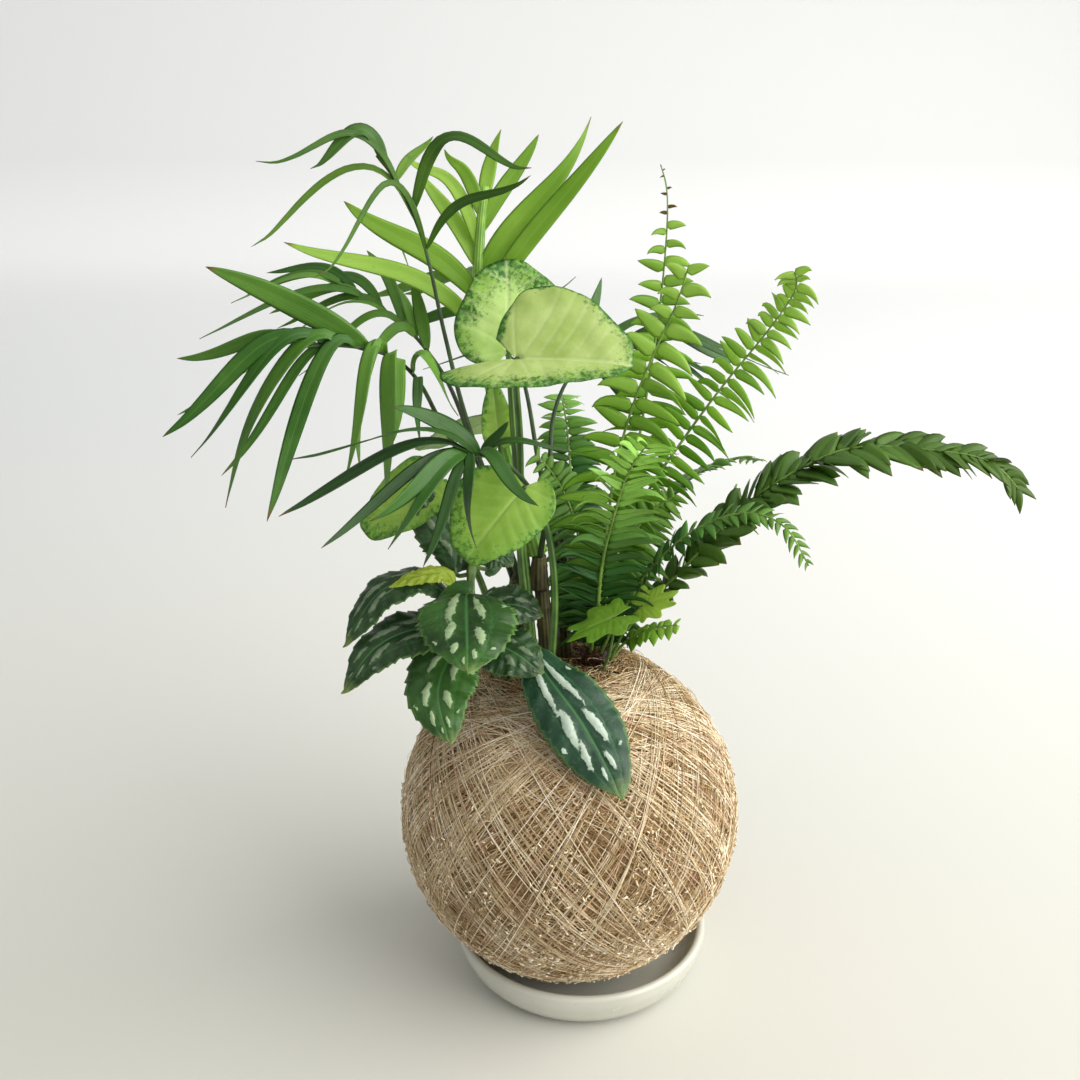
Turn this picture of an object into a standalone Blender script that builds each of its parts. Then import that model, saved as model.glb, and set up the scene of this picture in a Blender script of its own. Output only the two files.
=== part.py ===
"""Kokedama: a twine-bound root ball on a glazed saucer, planted with parlour palm, sword fern,
arrowhead vine and aluminium plant.

Metres, +Z up. The origin is the centre of the saucer's flat foot, +X is to the right and -Y is the
side that the hanging leaf shows. Plant shapes are given in millimetres and scaled by MM.
"""
from math import cos, pi, radians, sin, sqrt

import bmesh
import bpy
import numpy as np
from mathutils import Matrix, Vector

MM = 0.001
GAP = 0.3 * MM

# saucer: foot, leaning wall and rounded lip outside, cove and level floor inside
SAUCER_RADIUS = 54.0 * MM
SAUCER_HEIGHT = 20.0 * MM
SAUCER_WALL = 3.6 * MM
SAUCER_FOOT_RADIUS = 43.5 * MM
SAUCER_FOOT_EDGE = (48.0 * MM, 2.0 * MM)
SAUCER_BELLY = (51.8 * MM, 7.0 * MM)
SAUCER_SHOULDER = (53.6 * MM, 13.0 * MM)
SAUCER_COVE = ((49.4 * MM, 11.0 * MM), (46.4 * MM, 7.0 * MM))
SAUCER_FLOOR = 6.0 * MM
SAUCER_FLOOR_RADIUS = 42.4 * MM
SAUCER_SIDES = 48

# ball: soil, fibre jacket and twine, all turned about one leaning axis
BALL_RADIUS = 70.0 * MM
BALL_FLAT = 1.2 * MM
TWINE_DEPTH = 2.6 * MM
JACKET_DEPTH = 3.4 * MM
BALL_CENTRE = Vector((-5.4 * MM, 0.0, SAUCER_FLOOR + GAP + BALL_RADIUS - BALL_FLAT))
BALL_AXIS = Vector((-0.09, 0.13, 1.0)).normalized()
BALL_SIDES = 28
FIRST_RING = 38.0
RING_STEP = 13.0
RINGS = 11
MOUTH_RADIUS = 29.0 * MM
SOIL_DEPTH = 3.0 * MM
COLLAR_WIDTH = 4.0 * MM
COLLAR_HEIGHT = 4.0 * MM
COLLAR_OUTER_SHARE = 0.6
COLLAR_INNER_SHARE = 0.5

# stalks and blades
STALK_SECTIONS = 7
STALK_TAPER = 0.55
BLADE_THICKNESS = 0.7 * MM
TIP_WIDTH = 0.5 * MM

# parlour palm
CANE_RADIUS = 3.1 * MM
CANE_SIDES = 8
CANE_SWELL = ((0.0, 1.15), (0.5, 1.0), (1.0, 0.95))
PALM_STALK = 1.0 * MM
PALM_ROOT = 1.0 * MM
PALM_ROOT_SPACING = 1.2
LEAFLET_SHAPE = ((0.32, 1.0), (0.7, 0.8), (1.0, 0.0))

# sword fern
CROWN_RADIUS = 7.0 * MM
CROWN_HEIGHT = 8.0 * MM
CROWN_SIDES = 16
FERN_STALK = 0.75 * MM
FROND_END = 0.97
PINNA_SHAPE = ((0.45, 1.0), (1.0, 0.0))
PINNA_ROOT_SHARE = 0.18
PINNA_SWEEP = 0.32
PINNA_BOW = 0.06
PINNA_ASPECT = 0.26
PINNA_CROWDING = 0.40
PINNA_BASE = 0.62
PINNA_LONGEST_AT = 0.22
PINNA_TAPER = 2.3
PINNA_LEAST = 0.06

# arrowhead vine
LOBE_STEPS = 9
LOBE_POWER = 0.8
LOBE_FLARE = 0.32
LOBE_NOTCH = (0.72, 0.22)
NOTCH_WIDTH = 2.0 * MM
FAN_MIDDLE = 0.45
TIP_SAG = 0.10
PETIOLE_SECTIONS = 8

# aluminium plant and seedling leaves
PILEA_STEM_RADIUS = 1.8 * MM
STEM_SIDES = 8
STEM_SECTIONS = 12
RIBBON_STALK = 0.8 * MM
RIBBON_SECTIONS = 3
LEAF_REACH = 4.0 * MM
BLADE_SHAPE = ((0.0, 0.12), (0.15, 0.62), (0.35, 0.96), (0.55, 1.0), (0.78, 0.72), (0.93, 0.26), (1.0, 0.0))


def clear_scene():
    """Removes whatever the file already holds."""
    for item in list(bpy.data.objects):
        bpy.data.objects.remove(item, do_unlink=True)


def material(name, colour, roughness, metallic=0.0):
    """A Principled material of one colour, made once and shared by name."""
    found = bpy.data.materials.get(name)
    if found:
        return found
    made = bpy.data.materials.new(name)
    made.use_nodes = True
    shader = made.node_tree.nodes["Principled BSDF"]
    shader.inputs["Base Color"].default_value = (*colour, 1.0)
    shader.inputs["Roughness"].default_value = roughness
    shader.inputs["Metallic"].default_value = metallic
    return made


def add_object(name, bm, finish, smooth_angle=40.0):
    """Closes a bmesh into a named object with its faces outward and its round parts smooth."""
    bmesh.ops.recalc_face_normals(bm, faces=bm.faces[:])
    mesh = bpy.data.meshes.new(name)
    bm.to_mesh(mesh)
    bm.free()
    mesh.shade_smooth()
    mesh.set_sharp_from_angle(angle=radians(smooth_angle))
    mesh.materials.append(finish)
    piece = bpy.data.objects.new(name, mesh)
    bpy.context.collection.objects.link(piece)
    return piece


def turned(profile, sides, place=Matrix()):
    """A closed body turned about Z from a profile of (radius, height), put in place. The profile starts
    and ends on the axis, or it runs round the body's wall and closes on itself."""
    bm = bmesh.new()
    turns = [2.0 * pi * k / sides for k in range(sides)]
    rings = []
    for radius, height in profile:
        if radius <= 0.0:
            rings.append([bm.verts.new((0.0, 0.0, height))])
        else:
            rings.append([bm.verts.new((radius * cos(a), radius * sin(a), height)) for a in turns])
    pairs = list(zip(rings, rings[1:]))
    if profile[0][0] > 0.0:
        pairs.append((rings[-1], rings[0]))
    for lower, upper in pairs:
        if len(lower) + len(upper) == 2:
            continue
        for k in range(sides):
            after = (k + 1) % sides
            loop = [lower[k % len(lower)], lower[after % len(lower)]]
            loop += [upper[after % len(upper)], upper[k % len(upper)]]
            bm.faces.new(list(dict.fromkeys(loop)))
    bmesh.ops.transform(bm, matrix=place, verts=bm.verts[:])
    return bm


# ---------------------------------------------------------------- saucer and ball


def make_saucer():
    """A shallow dish: flat foot, leaning wall with a round lip, level floor inside."""
    lip = SAUCER_WALL / 2.0
    edge = SAUCER_RADIUS - lip
    rise = SAUCER_HEIGHT - lip
    profile = [
        (0.0, 0.0),
        (SAUCER_FOOT_RADIUS, 0.0),
        SAUCER_FOOT_EDGE,
        SAUCER_BELLY,
        SAUCER_SHOULDER,
        *[(edge + lip * cos(a), rise + lip * sin(a)) for a in (0.0, pi / 3, 2 * pi / 3, pi)],
        *SAUCER_COVE,
        (SAUCER_FLOOR_RADIUS, SAUCER_FLOOR),
        (0.0, SAUCER_FLOOR),
    ]
    glaze = material("glazed_white", (0.80, 0.80, 0.77), 0.25)
    add_object("saucer", turned(profile, SAUCER_SIDES), glaze)


def ball_place():
    """Leans a body turned about Z onto the ball's axis and moves it to the ball's centre."""
    lean = Vector((0.0, 0.0, 1.0)).rotation_difference(BALL_AXIS)
    return Matrix.Translation(BALL_CENTRE) @ lean.to_matrix().to_4x4()


def mouth_edge(radius, mouth=MOUTH_RADIUS):
    """The point (radius, height) where a sphere is as wide as the mouth."""
    return (mouth, sqrt(radius ** 2 - mouth ** 2))


def sphere_rings(radius):
    """Points (radius, height) down a sphere from below the mouth to the lower pole. Every layer of the
    ball uses the same angles, so that its facets lie level with those of the next layer."""
    turns = [radians(FIRST_RING + RING_STEP * k) for k in range(RINGS)]
    return [(radius * sin(a), radius * cos(a)) for a in turns] + [(0.0, -radius)]


def shell_profile(outer, depth):
    """Wall of a hollow ball: down its outside, then up its inside to the mouth."""
    inner = outer - depth
    outside = [mouth_edge(outer)] + sphere_rings(outer)
    inside = [mouth_edge(inner)] + sphere_rings(inner)
    return outside + inside[::-1]


def rest_flat(bm, height):
    """Cuts a body level at a height and closes it there."""
    every = bm.verts[:] + bm.edges[:] + bm.faces[:]
    cut = bmesh.ops.bisect_plane(bm, geom=every, plane_co=(0.0, 0.0, height), plane_no=(0.0, 0.0, -1.0),
                                 clear_outer=True)
    rim = [edge for edge in cut["geom_cut"] if isinstance(edge, bmesh.types.BMEdge)]
    bmesh.ops.edgeloop_fill(bm, edges=rim)


def soil_level():
    """Height of the planting surface above the ball's centre, along the leaning axis."""
    return mouth_edge(BALL_RADIUS)[1] - SOIL_DEPTH


def make_ball():
    """Soil core with a flat planting surface, fibre jacket round it, twine round both and a collar of
    loose fibre on the soil inside the mouth."""
    twine = material("twine", (0.62, 0.47, 0.31), 0.9)
    coir = material("coir", (0.40, 0.29, 0.17), 1.0)
    soil = material("soil", (0.09, 0.06, 0.04), 1.0)
    place = ball_place()

    wrap = turned(shell_profile(BALL_RADIUS, TWINE_DEPTH), BALL_SIDES, place)
    rest_flat(wrap, SAUCER_FLOOR + GAP)
    add_object("twine_wrap", wrap, twine)

    jacket = BALL_RADIUS - TWINE_DEPTH - GAP
    add_object("fibre_jacket", turned(shell_profile(jacket, JACKET_DEPTH), BALL_SIDES, place), coir)

    core = jacket - JACKET_DEPTH - GAP
    level = soil_level()
    neck = MOUTH_RADIUS - GAP
    profile = [(0.0, level), (neck, level), mouth_edge(core, neck)] + sphere_rings(core)
    add_object("soil_core", turned(profile, BALL_SIDES, place), soil)

    inner = neck - COLLAR_WIDTH
    base = level + GAP
    ring = [
        (inner, base),
        (neck, base),
        (neck, base + COLLAR_OUTER_SHARE * COLLAR_HEIGHT),
        (inner + COLLAR_WIDTH / 2.0, base + COLLAR_HEIGHT),
        (inner, base + COLLAR_INNER_SHARE * COLLAR_HEIGHT),
    ]
    add_object("coir_collar", turned(ring, BALL_SIDES, place), coir)


def soil_height(x, y):
    """Height of the leaning planting surface at (x, y), with the gap that a stem's foot keeps."""
    heart = BALL_CENTRE + BALL_AXIS * soil_level()
    slope = BALL_AXIS.x * (x - heart.x) + BALL_AXIS.y * (y - heart.y)
    return heart.z - slope / BALL_AXIS.z + GAP


# ---------------------------------------------------------------- growing along a curve


class Route:
    """A smooth curve through a few points (Catmull-Rom), read by its share of length, 0 to 1."""

    STEPS = 24

    def __init__(self, points):
        given = np.array(points, dtype=float)
        first = 2.0 * given[0] - given[1]
        last = 2.0 * given[-1] - given[-2]
        knots = np.vstack([first, given, last])
        t = np.linspace(0.0, 1.0, self.STEPS, endpoint=False)[:, None]
        runs = []
        for a, b, c, d in zip(knots, knots[1:], knots[2:], knots[3:]):
            bend = 2.0 * b + (c - a) * t + (2.0 * a - 5.0 * b + 4.0 * c - d) * t ** 2
            runs.append(0.5 * (bend + (3.0 * b - a - 3.0 * c + d) * t ** 3))
        self.points = np.vstack(runs + [given[-1:]])
        steps = np.linalg.norm(np.diff(self.points, axis=0), axis=1)
        self.along = np.concatenate([[0.0], np.cumsum(steps)])
        self.length = self.along[-1]

    def at(self, share):
        """The point at a share of the length."""
        reach = np.clip(share, 0.0, 1.0) * self.length
        return Vector([np.interp(reach, self.along, self.points[:, k]) for k in range(3)])

    def heading(self, share):
        """The unit direction there."""
        step = 0.01
        return (self.at(min(share + step, 1.0)) - self.at(max(share - step, 0.0))).normalized()


def corners(centre, across, up, half_width, half_height):
    """Four corners of a flat section, in the order that a section before and after it has."""
    wide = across * half_width
    high = up * half_height
    return [centre - wide + high, centre - wide - high, centre + wide - high, centre + wide + high]


def bridge(bm, ring, following):
    """Joins two sections of four corners: two narrow sides, and two wide faces that are split along
    matching diagonals, so that a twisted blade keeps its thickness."""
    for k in (0, 2):
        bm.faces.new((ring[k], ring[k + 1], following[k + 1], following[k]))
    bm.faces.new((ring[1], ring[2], following[2]))
    bm.faces.new((ring[1], following[2], following[1]))
    bm.faces.new((ring[3], ring[0], following[3]))
    bm.faces.new((ring[0], following[0], following[3]))


def grow_blade(bm, root, route, shape, half_width, facing, side):
    """Grows a blade from a root section: it narrows and widens as shape says and ends in a tip."""
    chord = (route.at(1.0) - route.at(0.0)).normalized()
    across = (facing.cross(chord) * side).normalized()
    ring = root
    for share, width in shape:
        heading = route.heading(share)
        up = (heading.cross(across) * side).normalized()
        half = max(half_width * width, TIP_WIDTH / 2.0)
        following = [bm.verts.new(p) for p in
                     corners(route.at(share), across, up, half, BLADE_THICKNESS / 2.0)]
        bridge(bm, ring, following)
        ring = following
    bm.faces.new(ring)


def section_frame(route, share, facing):
    """Across and up directions of a stalk's section: up is the side that faces out."""
    heading = route.heading(share)
    across = heading.cross(facing).normalized()
    return across, across.cross(heading).normalized()


def foot_on_soil(ring):
    """Moves a section's corners along Z onto the planting surface."""
    for vert in ring:
        vert.co.z = soil_height(vert.co.x, vert.co.y)


def foot_level(ring, height):
    """Moves a section's corners along Z to one height."""
    for vert in ring:
        vert.co.z = height


def grow_stalk(bm, route, facing, half_width, roots, on_soil):
    """A four-sided stalk along a route. roots lists (start, end, {side: grower}), stretches where a
    blade leaves the stalk's right (+1) or left (-1) side in place of a plain face."""
    shares = [roots[0][0] * k / STALK_SECTIONS for k in range(STALK_SECTIONS)]
    for start, end, _ in roots:
        shares += [start, end]
    shares.append(1.0)
    growers_at = {start: growers for start, _, growers in roots}
    sections = []
    for share in shares:
        across, up = section_frame(route, share, facing)
        half = half_width * (1.0 - STALK_TAPER * share)
        sections.append([bm.verts.new(p) for p in corners(route.at(share), -across, up, half, half)])
    if on_soil:
        foot_on_soil(sections[0])
    else:
        foot_level(sections[0], route.at(0.0).z)
    for share, ring, following in zip(shares, sections, sections[1:]):
        growers = growers_at.get(share, {})
        bm.faces.new((ring[1], ring[2], following[2], following[1]))
        bm.faces.new((ring[3], ring[0], following[0], following[3]))
        sides = {
            1: (ring[0], ring[1], following[1], following[0]),
            -1: (ring[3], ring[2], following[2], following[3]),
        }
        for side, root in sides.items():
            if side in growers:
                growers[side](bm, list(root))
            else:
                bm.faces.new(root)
    bm.faces.new(sections[0])
    bm.faces.new(sections[-1])


def blade_grower(route, shape, half_width, facing, side):
    """The function that grows one blade on a face of a stalk."""
    def grow(bm, root):
        grow_blade(bm, root, route, shape, half_width, facing, side)
    return grow


def grow_tube(route, sections, sides, facing):
    """A round stem along a route, from (share, radius) sections; returns its bmesh and its rings."""
    bm = bmesh.new()
    turns = [2.0 * pi * k / sides for k in range(sides)]
    rings = []
    for share, radius in sections:
        across, up = section_frame(route, share, facing)
        centre = route.at(share)
        rings.append([bm.verts.new(centre + (across * cos(a) + up * sin(a)) * radius) for a in turns])
    for lower, upper in zip(rings, rings[1:]):
        for k in range(sides):
            after = (k + 1) % sides
            bm.faces.new((lower[k], lower[after], upper[after], upper[k]))
    bm.faces.new(rings[0])
    bm.faces.new(rings[-1])
    foot_on_soil(rings[0])
    return bm, rings


# ---------------------------------------------------------------- parlour palm

PALM_CANES = {
    "palm_cane_left": ((-25, 12), (-27, 10, 176)),
    "palm_cane_middle": ((-14, 9), (-18, 8, 186)),
    "palm_cane_right": ((-7, 22), (-9, 24, 180)),
}

# route of each frond's stalk, the way its upper face looks, and its leaflets:
# (share along the stalk, tip, rise of the arch, half width)
PALM_FRONDS = {
    "palm_frond_tall_dark": dict(
        route=((-26.4, 8.3, 176.3), (-36, 5, 212), (-46, 0, 248), (-52, -5, 278), (-58, -12, 312),
               (-66, -16, 332), (-72, -18, 341)),
        facing=(0.3, -0.75, 0.6),
        leaflets=(
            (0.76, (-92, -44, 303), 0.45, 1.6),
            (0.79, (-25, -42, 335), 0.20, 2.6),
            (0.84, (-114, -34, 311), 0.33, 2.0),
            (0.87, (-20, -40, 339), 0.22, 3.0),
            (0.91, (-115, -8, 338), 0.24, 1.9),
            (0.94, (-54, -6, 346), 0.10, 2.4),
            (0.97, (-93, -32, 337), 0.20, 3.2),
        ),
    ),
    "palm_frond_tall_bright": dict(
        route=((-18.5, 9.6, 186.3), (-31, 17, 230), (-38, 22, 262), (-41, 24, 286), (-40, 25, 308),
               (-38, 26, 326)),
        facing=(0.0, -0.9, 0.4),
        leaflets=(
            (0.62, (-111, 12, 309), 0.10, 3.6),
            (0.67, (12, 16, 350), 0.04, 4.0),
            (0.71, (-90, 24, 322), 0.08, 4.6),
            (0.75, (1, 26, 352), 0.06, 4.6),
            (0.79, (-63, 36, 331), 0.08, 3.4),
            (0.84, (-67, 25, 338), 0.25, 2.6),
            (0.88, (-18, 33, 344), 0.06, 3.0),
            (0.92, (-52, 18, 341), 0.22, 2.6),
            (0.96, (-32, 36, 346), 0.02, 3.0),
        ),
    ),
    "palm_frond_left": dict(
        route=((-28.8, 10.1, 176.3), (-40, 9, 212), (-54, 4, 240), (-61, -8, 260), (-68, -17, 271),
               (-77, -25, 277), (-88, -32, 280), (-98, -38, 281)),
        facing=(0.0, -0.45, 0.9),
        leaflets=(
            (0.64, (-60, -26, 246), 0.25, 2.0),
            (0.68, (-46, -30, 256), 0.35, 4.0),
            (0.72, (-69, -36, 248), 0.22, 2.6),
            (0.755, (-71, -44, 229), 0.22, 4.4),
            (0.79, (-82, -50, 238), 0.25, 2.6),
            (0.825, (-127, -40, 309), 0.05, 4.4),
            (0.86, (-110, -56, 226), 0.22, 3.0),
            (0.895, (-123, -58, 233), 0.22, 3.2),
            (0.93, (-134, -54, 249), 0.20, 2.6),
            (0.96, (-144, -50, 256), 0.16, 3.4),
            (0.985, (-142, -30, 276), 0.10, 2.4),
        ),
    ),
    "palm_frond_left_rear": dict(
        route=((-26.1, 11.6, 176.3), (-39, 18, 212), (-51, 21, 248), (-62, 24, 266), (-72, 28, 275),
               (-85, 32, 284), (-97, 36, 287)),
        facing=(0.0, -0.45, 0.9),
        leaflets=(
            (0.68, (-71, 34, 306), 0.05, 3.0),
            (0.73, (-84, 14, 266), 0.25, 2.2),
            (0.77, (-85, 44, 303), 0.10, 2.4),
            (0.81, (-140, 16, 256), 0.16, 2.6),
            (0.85, (-110, 56, 290), 0.15, 2.4),
            (0.89, (-148, 24, 272), 0.10, 2.6),
            (0.93, (-126, 52, 290), 0.12, 2.2),
            (0.97, (-138, 38, 283), 0.12, 2.4),
        ),
    ),
    "palm_frond_front": dict(
        route=((-17.6, 6.5, 186.3), (-16, -1, 205), (-21, -15, 222), (-31, -30, 238), (-42, -50, 247)),
        facing=(0.0, -0.45, 0.9),
        leaflets=(
            (0.66, (-27, -42, 259), 0.05, 2.2),
            (0.71, (-48, -38, 266), 0.05, 3.4),
            (0.76, (0, -62, 248), 0.12, 3.0),
            (0.80, (-100, -62, 243), 0.14, 3.0),
            (0.84, (-18, -80, 236), 0.12, 2.8),
            (0.88, (-103, -68, 230), 0.12, 3.6),
            (0.91, (-91, -74, 219), 0.14, 2.6),
            (0.94, (-38, -84, 222), 0.12, 2.6),
            (0.97, (-74, -80, 228), 0.10, 3.4),
        ),
    ),
    "palm_frond_right": dict(
        route=((-7.8, 23.2, 180.3), (-13, 28, 212), (-12, 36, 236), (-3, 44, 253), (11, 50, 261),
               (27, 54, 264)),
        facing=(0.0, -0.5, 0.85),
        leaflets=(
            (0.66, (8, 74, 284), 0.05, 3.0),
            (0.72, (18, 40, 240), 0.15, 2.6),
            (0.79, (50, 66, 272), 0.08, 3.0),
            (0.85, (60, 46, 239), 0.12, 3.0),
            (0.91, (84, 52, 249), 0.10, 3.0),
            (0.96, (66, 72, 250), 0.10, 4.0),
        ),
    ),
    "palm_frond_rear": dict(
        route=((-10.0, 25.1, 180.3), (-18, 38, 214), (-24, 52, 244), (-34, 64, 268), (-46, 74, 282)),
        facing=(-0.2, 0.6, 0.8),
        leaflets=(
            (0.60, (2, 78, 262), 0.12, 3.0),
            (0.66, (-66, 58, 250), 0.12, 2.6),
            (0.72, (-2, 88, 282), 0.12, 3.4),
            (0.78, (-84, 74, 262), 0.14, 3.0),
            (0.84, (-22, 106, 284), 0.15, 3.0),
            (0.90, (-92, 90, 274), 0.15, 3.0),
            (0.96, (-62, 110, 276), 0.14, 3.0),
        ),
    ),
}


def millimetres(points):
    """Plain tuples of millimetres as an array of metres."""
    return np.array(points, dtype=float) * MM


def arched_route(start, tip, rise):
    """A short curve from start to tip that rises by a share of its length on the way."""
    start = np.array(start)
    tip = np.array(tip)
    span = np.linalg.norm(tip - start)
    middle = 0.5 * (start + tip) + np.array((0.0, 0.0, rise * span))
    quarter = 0.45 * start + 0.55 * middle
    return Route([start, quarter + np.array((0.0, 0.0, 0.16 * rise * span)), middle, tip])


def make_cane(name, foot, top, finish):
    """A short round cane that stands on the soil and carries the palm stalks on its level top."""
    points = millimetres(((*foot, 0.0), top))
    points[0, 2] = soil_height(points[0, 0], points[0, 1])
    sections = [(share, CANE_RADIUS * swell) for share, swell in CANE_SWELL]
    bm, rings = grow_tube(Route(points), sections, CANE_SIDES, Vector((0.0, -1.0, 0.0)))
    foot_level(rings[-1], points[1, 2])
    add_object(name, bm, finish)


def make_palm_frond(name, route, facing, leaflets):
    """A feather palm frond: one stalk with strap leaflets that leave it one after another."""
    stalk = Route(millimetres(route))
    outward = Vector(facing).normalized()
    reach = PALM_ROOT / stalk.length
    step = PALM_ROOT_SPACING * reach
    roots = []
    free = 0.0
    for share, tip, rise, half_width in leaflets:
        middle = min(max(share, free + reach), 1.0 - step)
        across, _ = section_frame(stalk, middle, outward)
        base = stalk.at(middle)
        end = Vector(millimetres(tip))
        side = 1 if (end - base).dot(across) > 0.0 else -1
        path = arched_route(base + across * side * PALM_STALK, end, rise)
        grower = blade_grower(path, LEAFLET_SHAPE, half_width * MM, outward, side)
        roots.append((middle - reach, middle + reach, {side: grower}))
        free = middle + step
    bm = bmesh.new()
    grow_stalk(bm, stalk, outward, PALM_STALK, roots, on_soil=False)
    add_object(name, bm, material("palm_leaf", (0.10, 0.26, 0.05), 0.45))


def make_palm():
    """Three canes and the fronds that stand on them."""
    bark = material("cane", (0.13, 0.12, 0.05), 0.7)
    for name, (foot, top) in PALM_CANES.items():
        make_cane(name, foot, top, bark)
    for name, frond in PALM_FRONDS.items():
        make_palm_frond(name, **frond)


# ---------------------------------------------------------------- sword fern

FERN_CROWN = (6, 12)

# route of each frond's stalk from the crown, the way its face looks, share of bare stalk,
# pairs of pinnae, longest pinna and droop
FERN_FRONDS = {
    "fern_frond_tall": dict(
        route=((9.7, 15.7, 0), (12, 22, 172), (20, 30, 214), (27, 34, 262), (30, 34, 296), (30, 32, 322),
               (26, 29, 336)),
        facing=(0.0, -0.95, 0.3), bare=0.38, pairs=13, longest=17, droop=0.1),
    "fern_frond_middle": dict(
        route=((5, 10.3, 0), (7, 7, 180), (11, 4, 222), (17, 0, 250), (24, -4, 271), (31, -8, 290),
               (35, -11, 306)),
        facing=(-0.15, -0.9, 0.45), bare=0.36, pairs=12, longest=21, droop=0.12),
    "fern_frond_right": dict(
        route=((11.2, 12.4, 0), (14, 14, 176), (24, 19, 206), (38, 19, 230), (52, 15, 253), (67, 9, 276),
               (75, 4, 292), (73, 1, 301)),
        facing=(-0.3, -0.85, 0.4), bare=0.30, pairs=14, longest=18, droop=0.15),
    "fern_frond_arching": dict(
        route=((10.3, 9, 0), (25, 8, 164), (42, 7, 184), (60, 6, 206), (76, 4, 220), (99, 0, 233),
               (128, -5, 234), (149, -10, 231), (161, -16, 220)),
        facing=(-0.35, -0.1, 0.93), bare=0.16, pairs=17, longest=17, droop=0.1),
    "fern_frond_low_right": dict(
        route=((6.9, 6.9, 0), (14, 0, 164), (25, -10, 188), (39, -17, 206), (56, -24, 216), (70, -32, 214),
               (79, -42, 201)),
        facing=(-0.2, -0.25, 0.95), bare=0.34, pairs=11, longest=11, droop=0.1),
    "fern_frond_bushy": dict(
        route=((3, 7.7, 0), (5, -2, 166), (6, -14, 192), (9, -28, 216), (13, -42, 238), (19, -56, 254)),
        facing=(0.0, -0.5, 0.87), bare=0.32, pairs=16, longest=20, droop=0.15),
    "fern_frond_low_rear": dict(
        route=((6, 17.2, 0), (12, 26, 164), (24, 38, 186), (42, 50, 202), (62, 62, 208), (80, 74, 204)),
        facing=(-0.2, 0.3, 0.93), bare=0.2, pairs=12, longest=16, droop=0.12),
    "fern_frond_back": dict(
        route=((2.3, 15.7, 0), (0, 30, 170), (-4, 48, 200), (-6, 68, 220), (-8, 90, 228), (-8, 110, 222)),
        facing=(0.0, 0.2, 0.98), bare=0.25, pairs=12, longest=17, droop=0.12),
    "fern_frond_left": dict(
        route=((0.8, 12, 0), (1, 18, 170), (-4, 21, 197), (-11, 22, 213), (-20, 21, 225)),
        facing=(0.2, -0.7, 0.7), bare=0.36, pairs=11, longest=11, droop=0.15),
    "fern_frond_inner": dict(
        route=((8, 12, 0), (10, 11.5, 172), (17, 11, 190), (26, 11, 203), (36, 11, 211)),
        facing=(0.0, -0.9, 0.4), bare=0.36, pairs=10, longest=10, droop=0.15),
    "fern_frond_short": dict(
        route=((11, 3.8, 0), (11.5, 3.6, 142), (17, 2.5, 151), (26, -1, 158), (37, -5, 162)),
        facing=(-0.1, -0.3, 0.95), bare=0.45, pairs=8, longest=7, droop=0.1, on_soil=True),
}


def crown_top():
    """Height of the crown's flat top."""
    return soil_height(*millimetres(FERN_CROWN)) + CROWN_HEIGHT


def make_fern_crown():
    """The fern's scaly crown: a low round knob whose flat top carries the stalks."""
    profile = [
        (0.0, 0.0),
        (0.85 * CROWN_RADIUS, 0.0),
        (CROWN_RADIUS, 0.45 * CROWN_HEIGHT),
        (0.92 * CROWN_RADIUS, CROWN_HEIGHT),
        (0.0, CROWN_HEIGHT),
    ]
    base = crown_top() - CROWN_HEIGHT
    crown = turned(profile, CROWN_SIDES, Matrix.Translation((*millimetres(FERN_CROWN), base)))
    foot_on_soil([vert for vert in crown.verts if vert.co.z < base + GAP])
    add_object("fern_crown", crown, material("fern_scale", (0.16, 0.08, 0.04), 0.9))


def pinna_length(share, longest):
    """Pinnae are a little short at the base, longest low down and taper towards the tip."""
    swell = PINNA_BASE + (1.0 - PINNA_BASE) * min(1.0, share / PINNA_LONGEST_AT)
    return longest * (swell * (1.0 - share ** PINNA_TAPER) + PINNA_LEAST) * MM


def make_fern_frond(name, route, facing, bare, pairs, longest, droop, on_soil=False):
    """A fern frond: a thin stalk with opposite pairs of pinnae that shorten towards the tip."""
    points = millimetres(route)
    points[0, 2] = soil_height(points[0, 0], points[0, 1]) if on_soil else crown_top() + GAP
    stalk = Route(points)
    outward = Vector(facing).normalized()
    pitch = (FROND_END - bare) / pairs
    roots = []
    for k in range(pairs):
        share = bare + pitch * (k + 0.5)
        across, up = section_frame(stalk, share, outward)
        heading = stalk.heading(share)
        reach = pinna_length(k / (pairs - 1), longest)
        half = min(PINNA_ASPECT * reach, PINNA_CROWDING * pitch * stalk.length)
        growers = {}
        for side in (1, -1):
            start = stalk.at(share) + across * side * FERN_STALK / 2.0
            way = (across * side + heading * PINNA_SWEEP - up * droop).normalized()
            bow = Route([start, start + (way / 2.0 + up * PINNA_BOW) * reach, start + way * reach])
            growers[side] = blade_grower(bow, PINNA_SHAPE, half, outward, side)
        root = PINNA_ROOT_SHARE * pitch
        roots.append((share - root, share + root, growers))
    bm = bmesh.new()
    grow_stalk(bm, stalk, outward, FERN_STALK, roots, on_soil)
    add_object(name, bm, material("fern_leaf", (0.16, 0.36, 0.05), 0.5))


def make_fern():
    """The crown and its fronds."""
    make_fern_crown()
    for name, frond in FERN_FRONDS.items():
        make_fern_frond(name, **frond)


# ---------------------------------------------------------------- arrowhead vine

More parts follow.
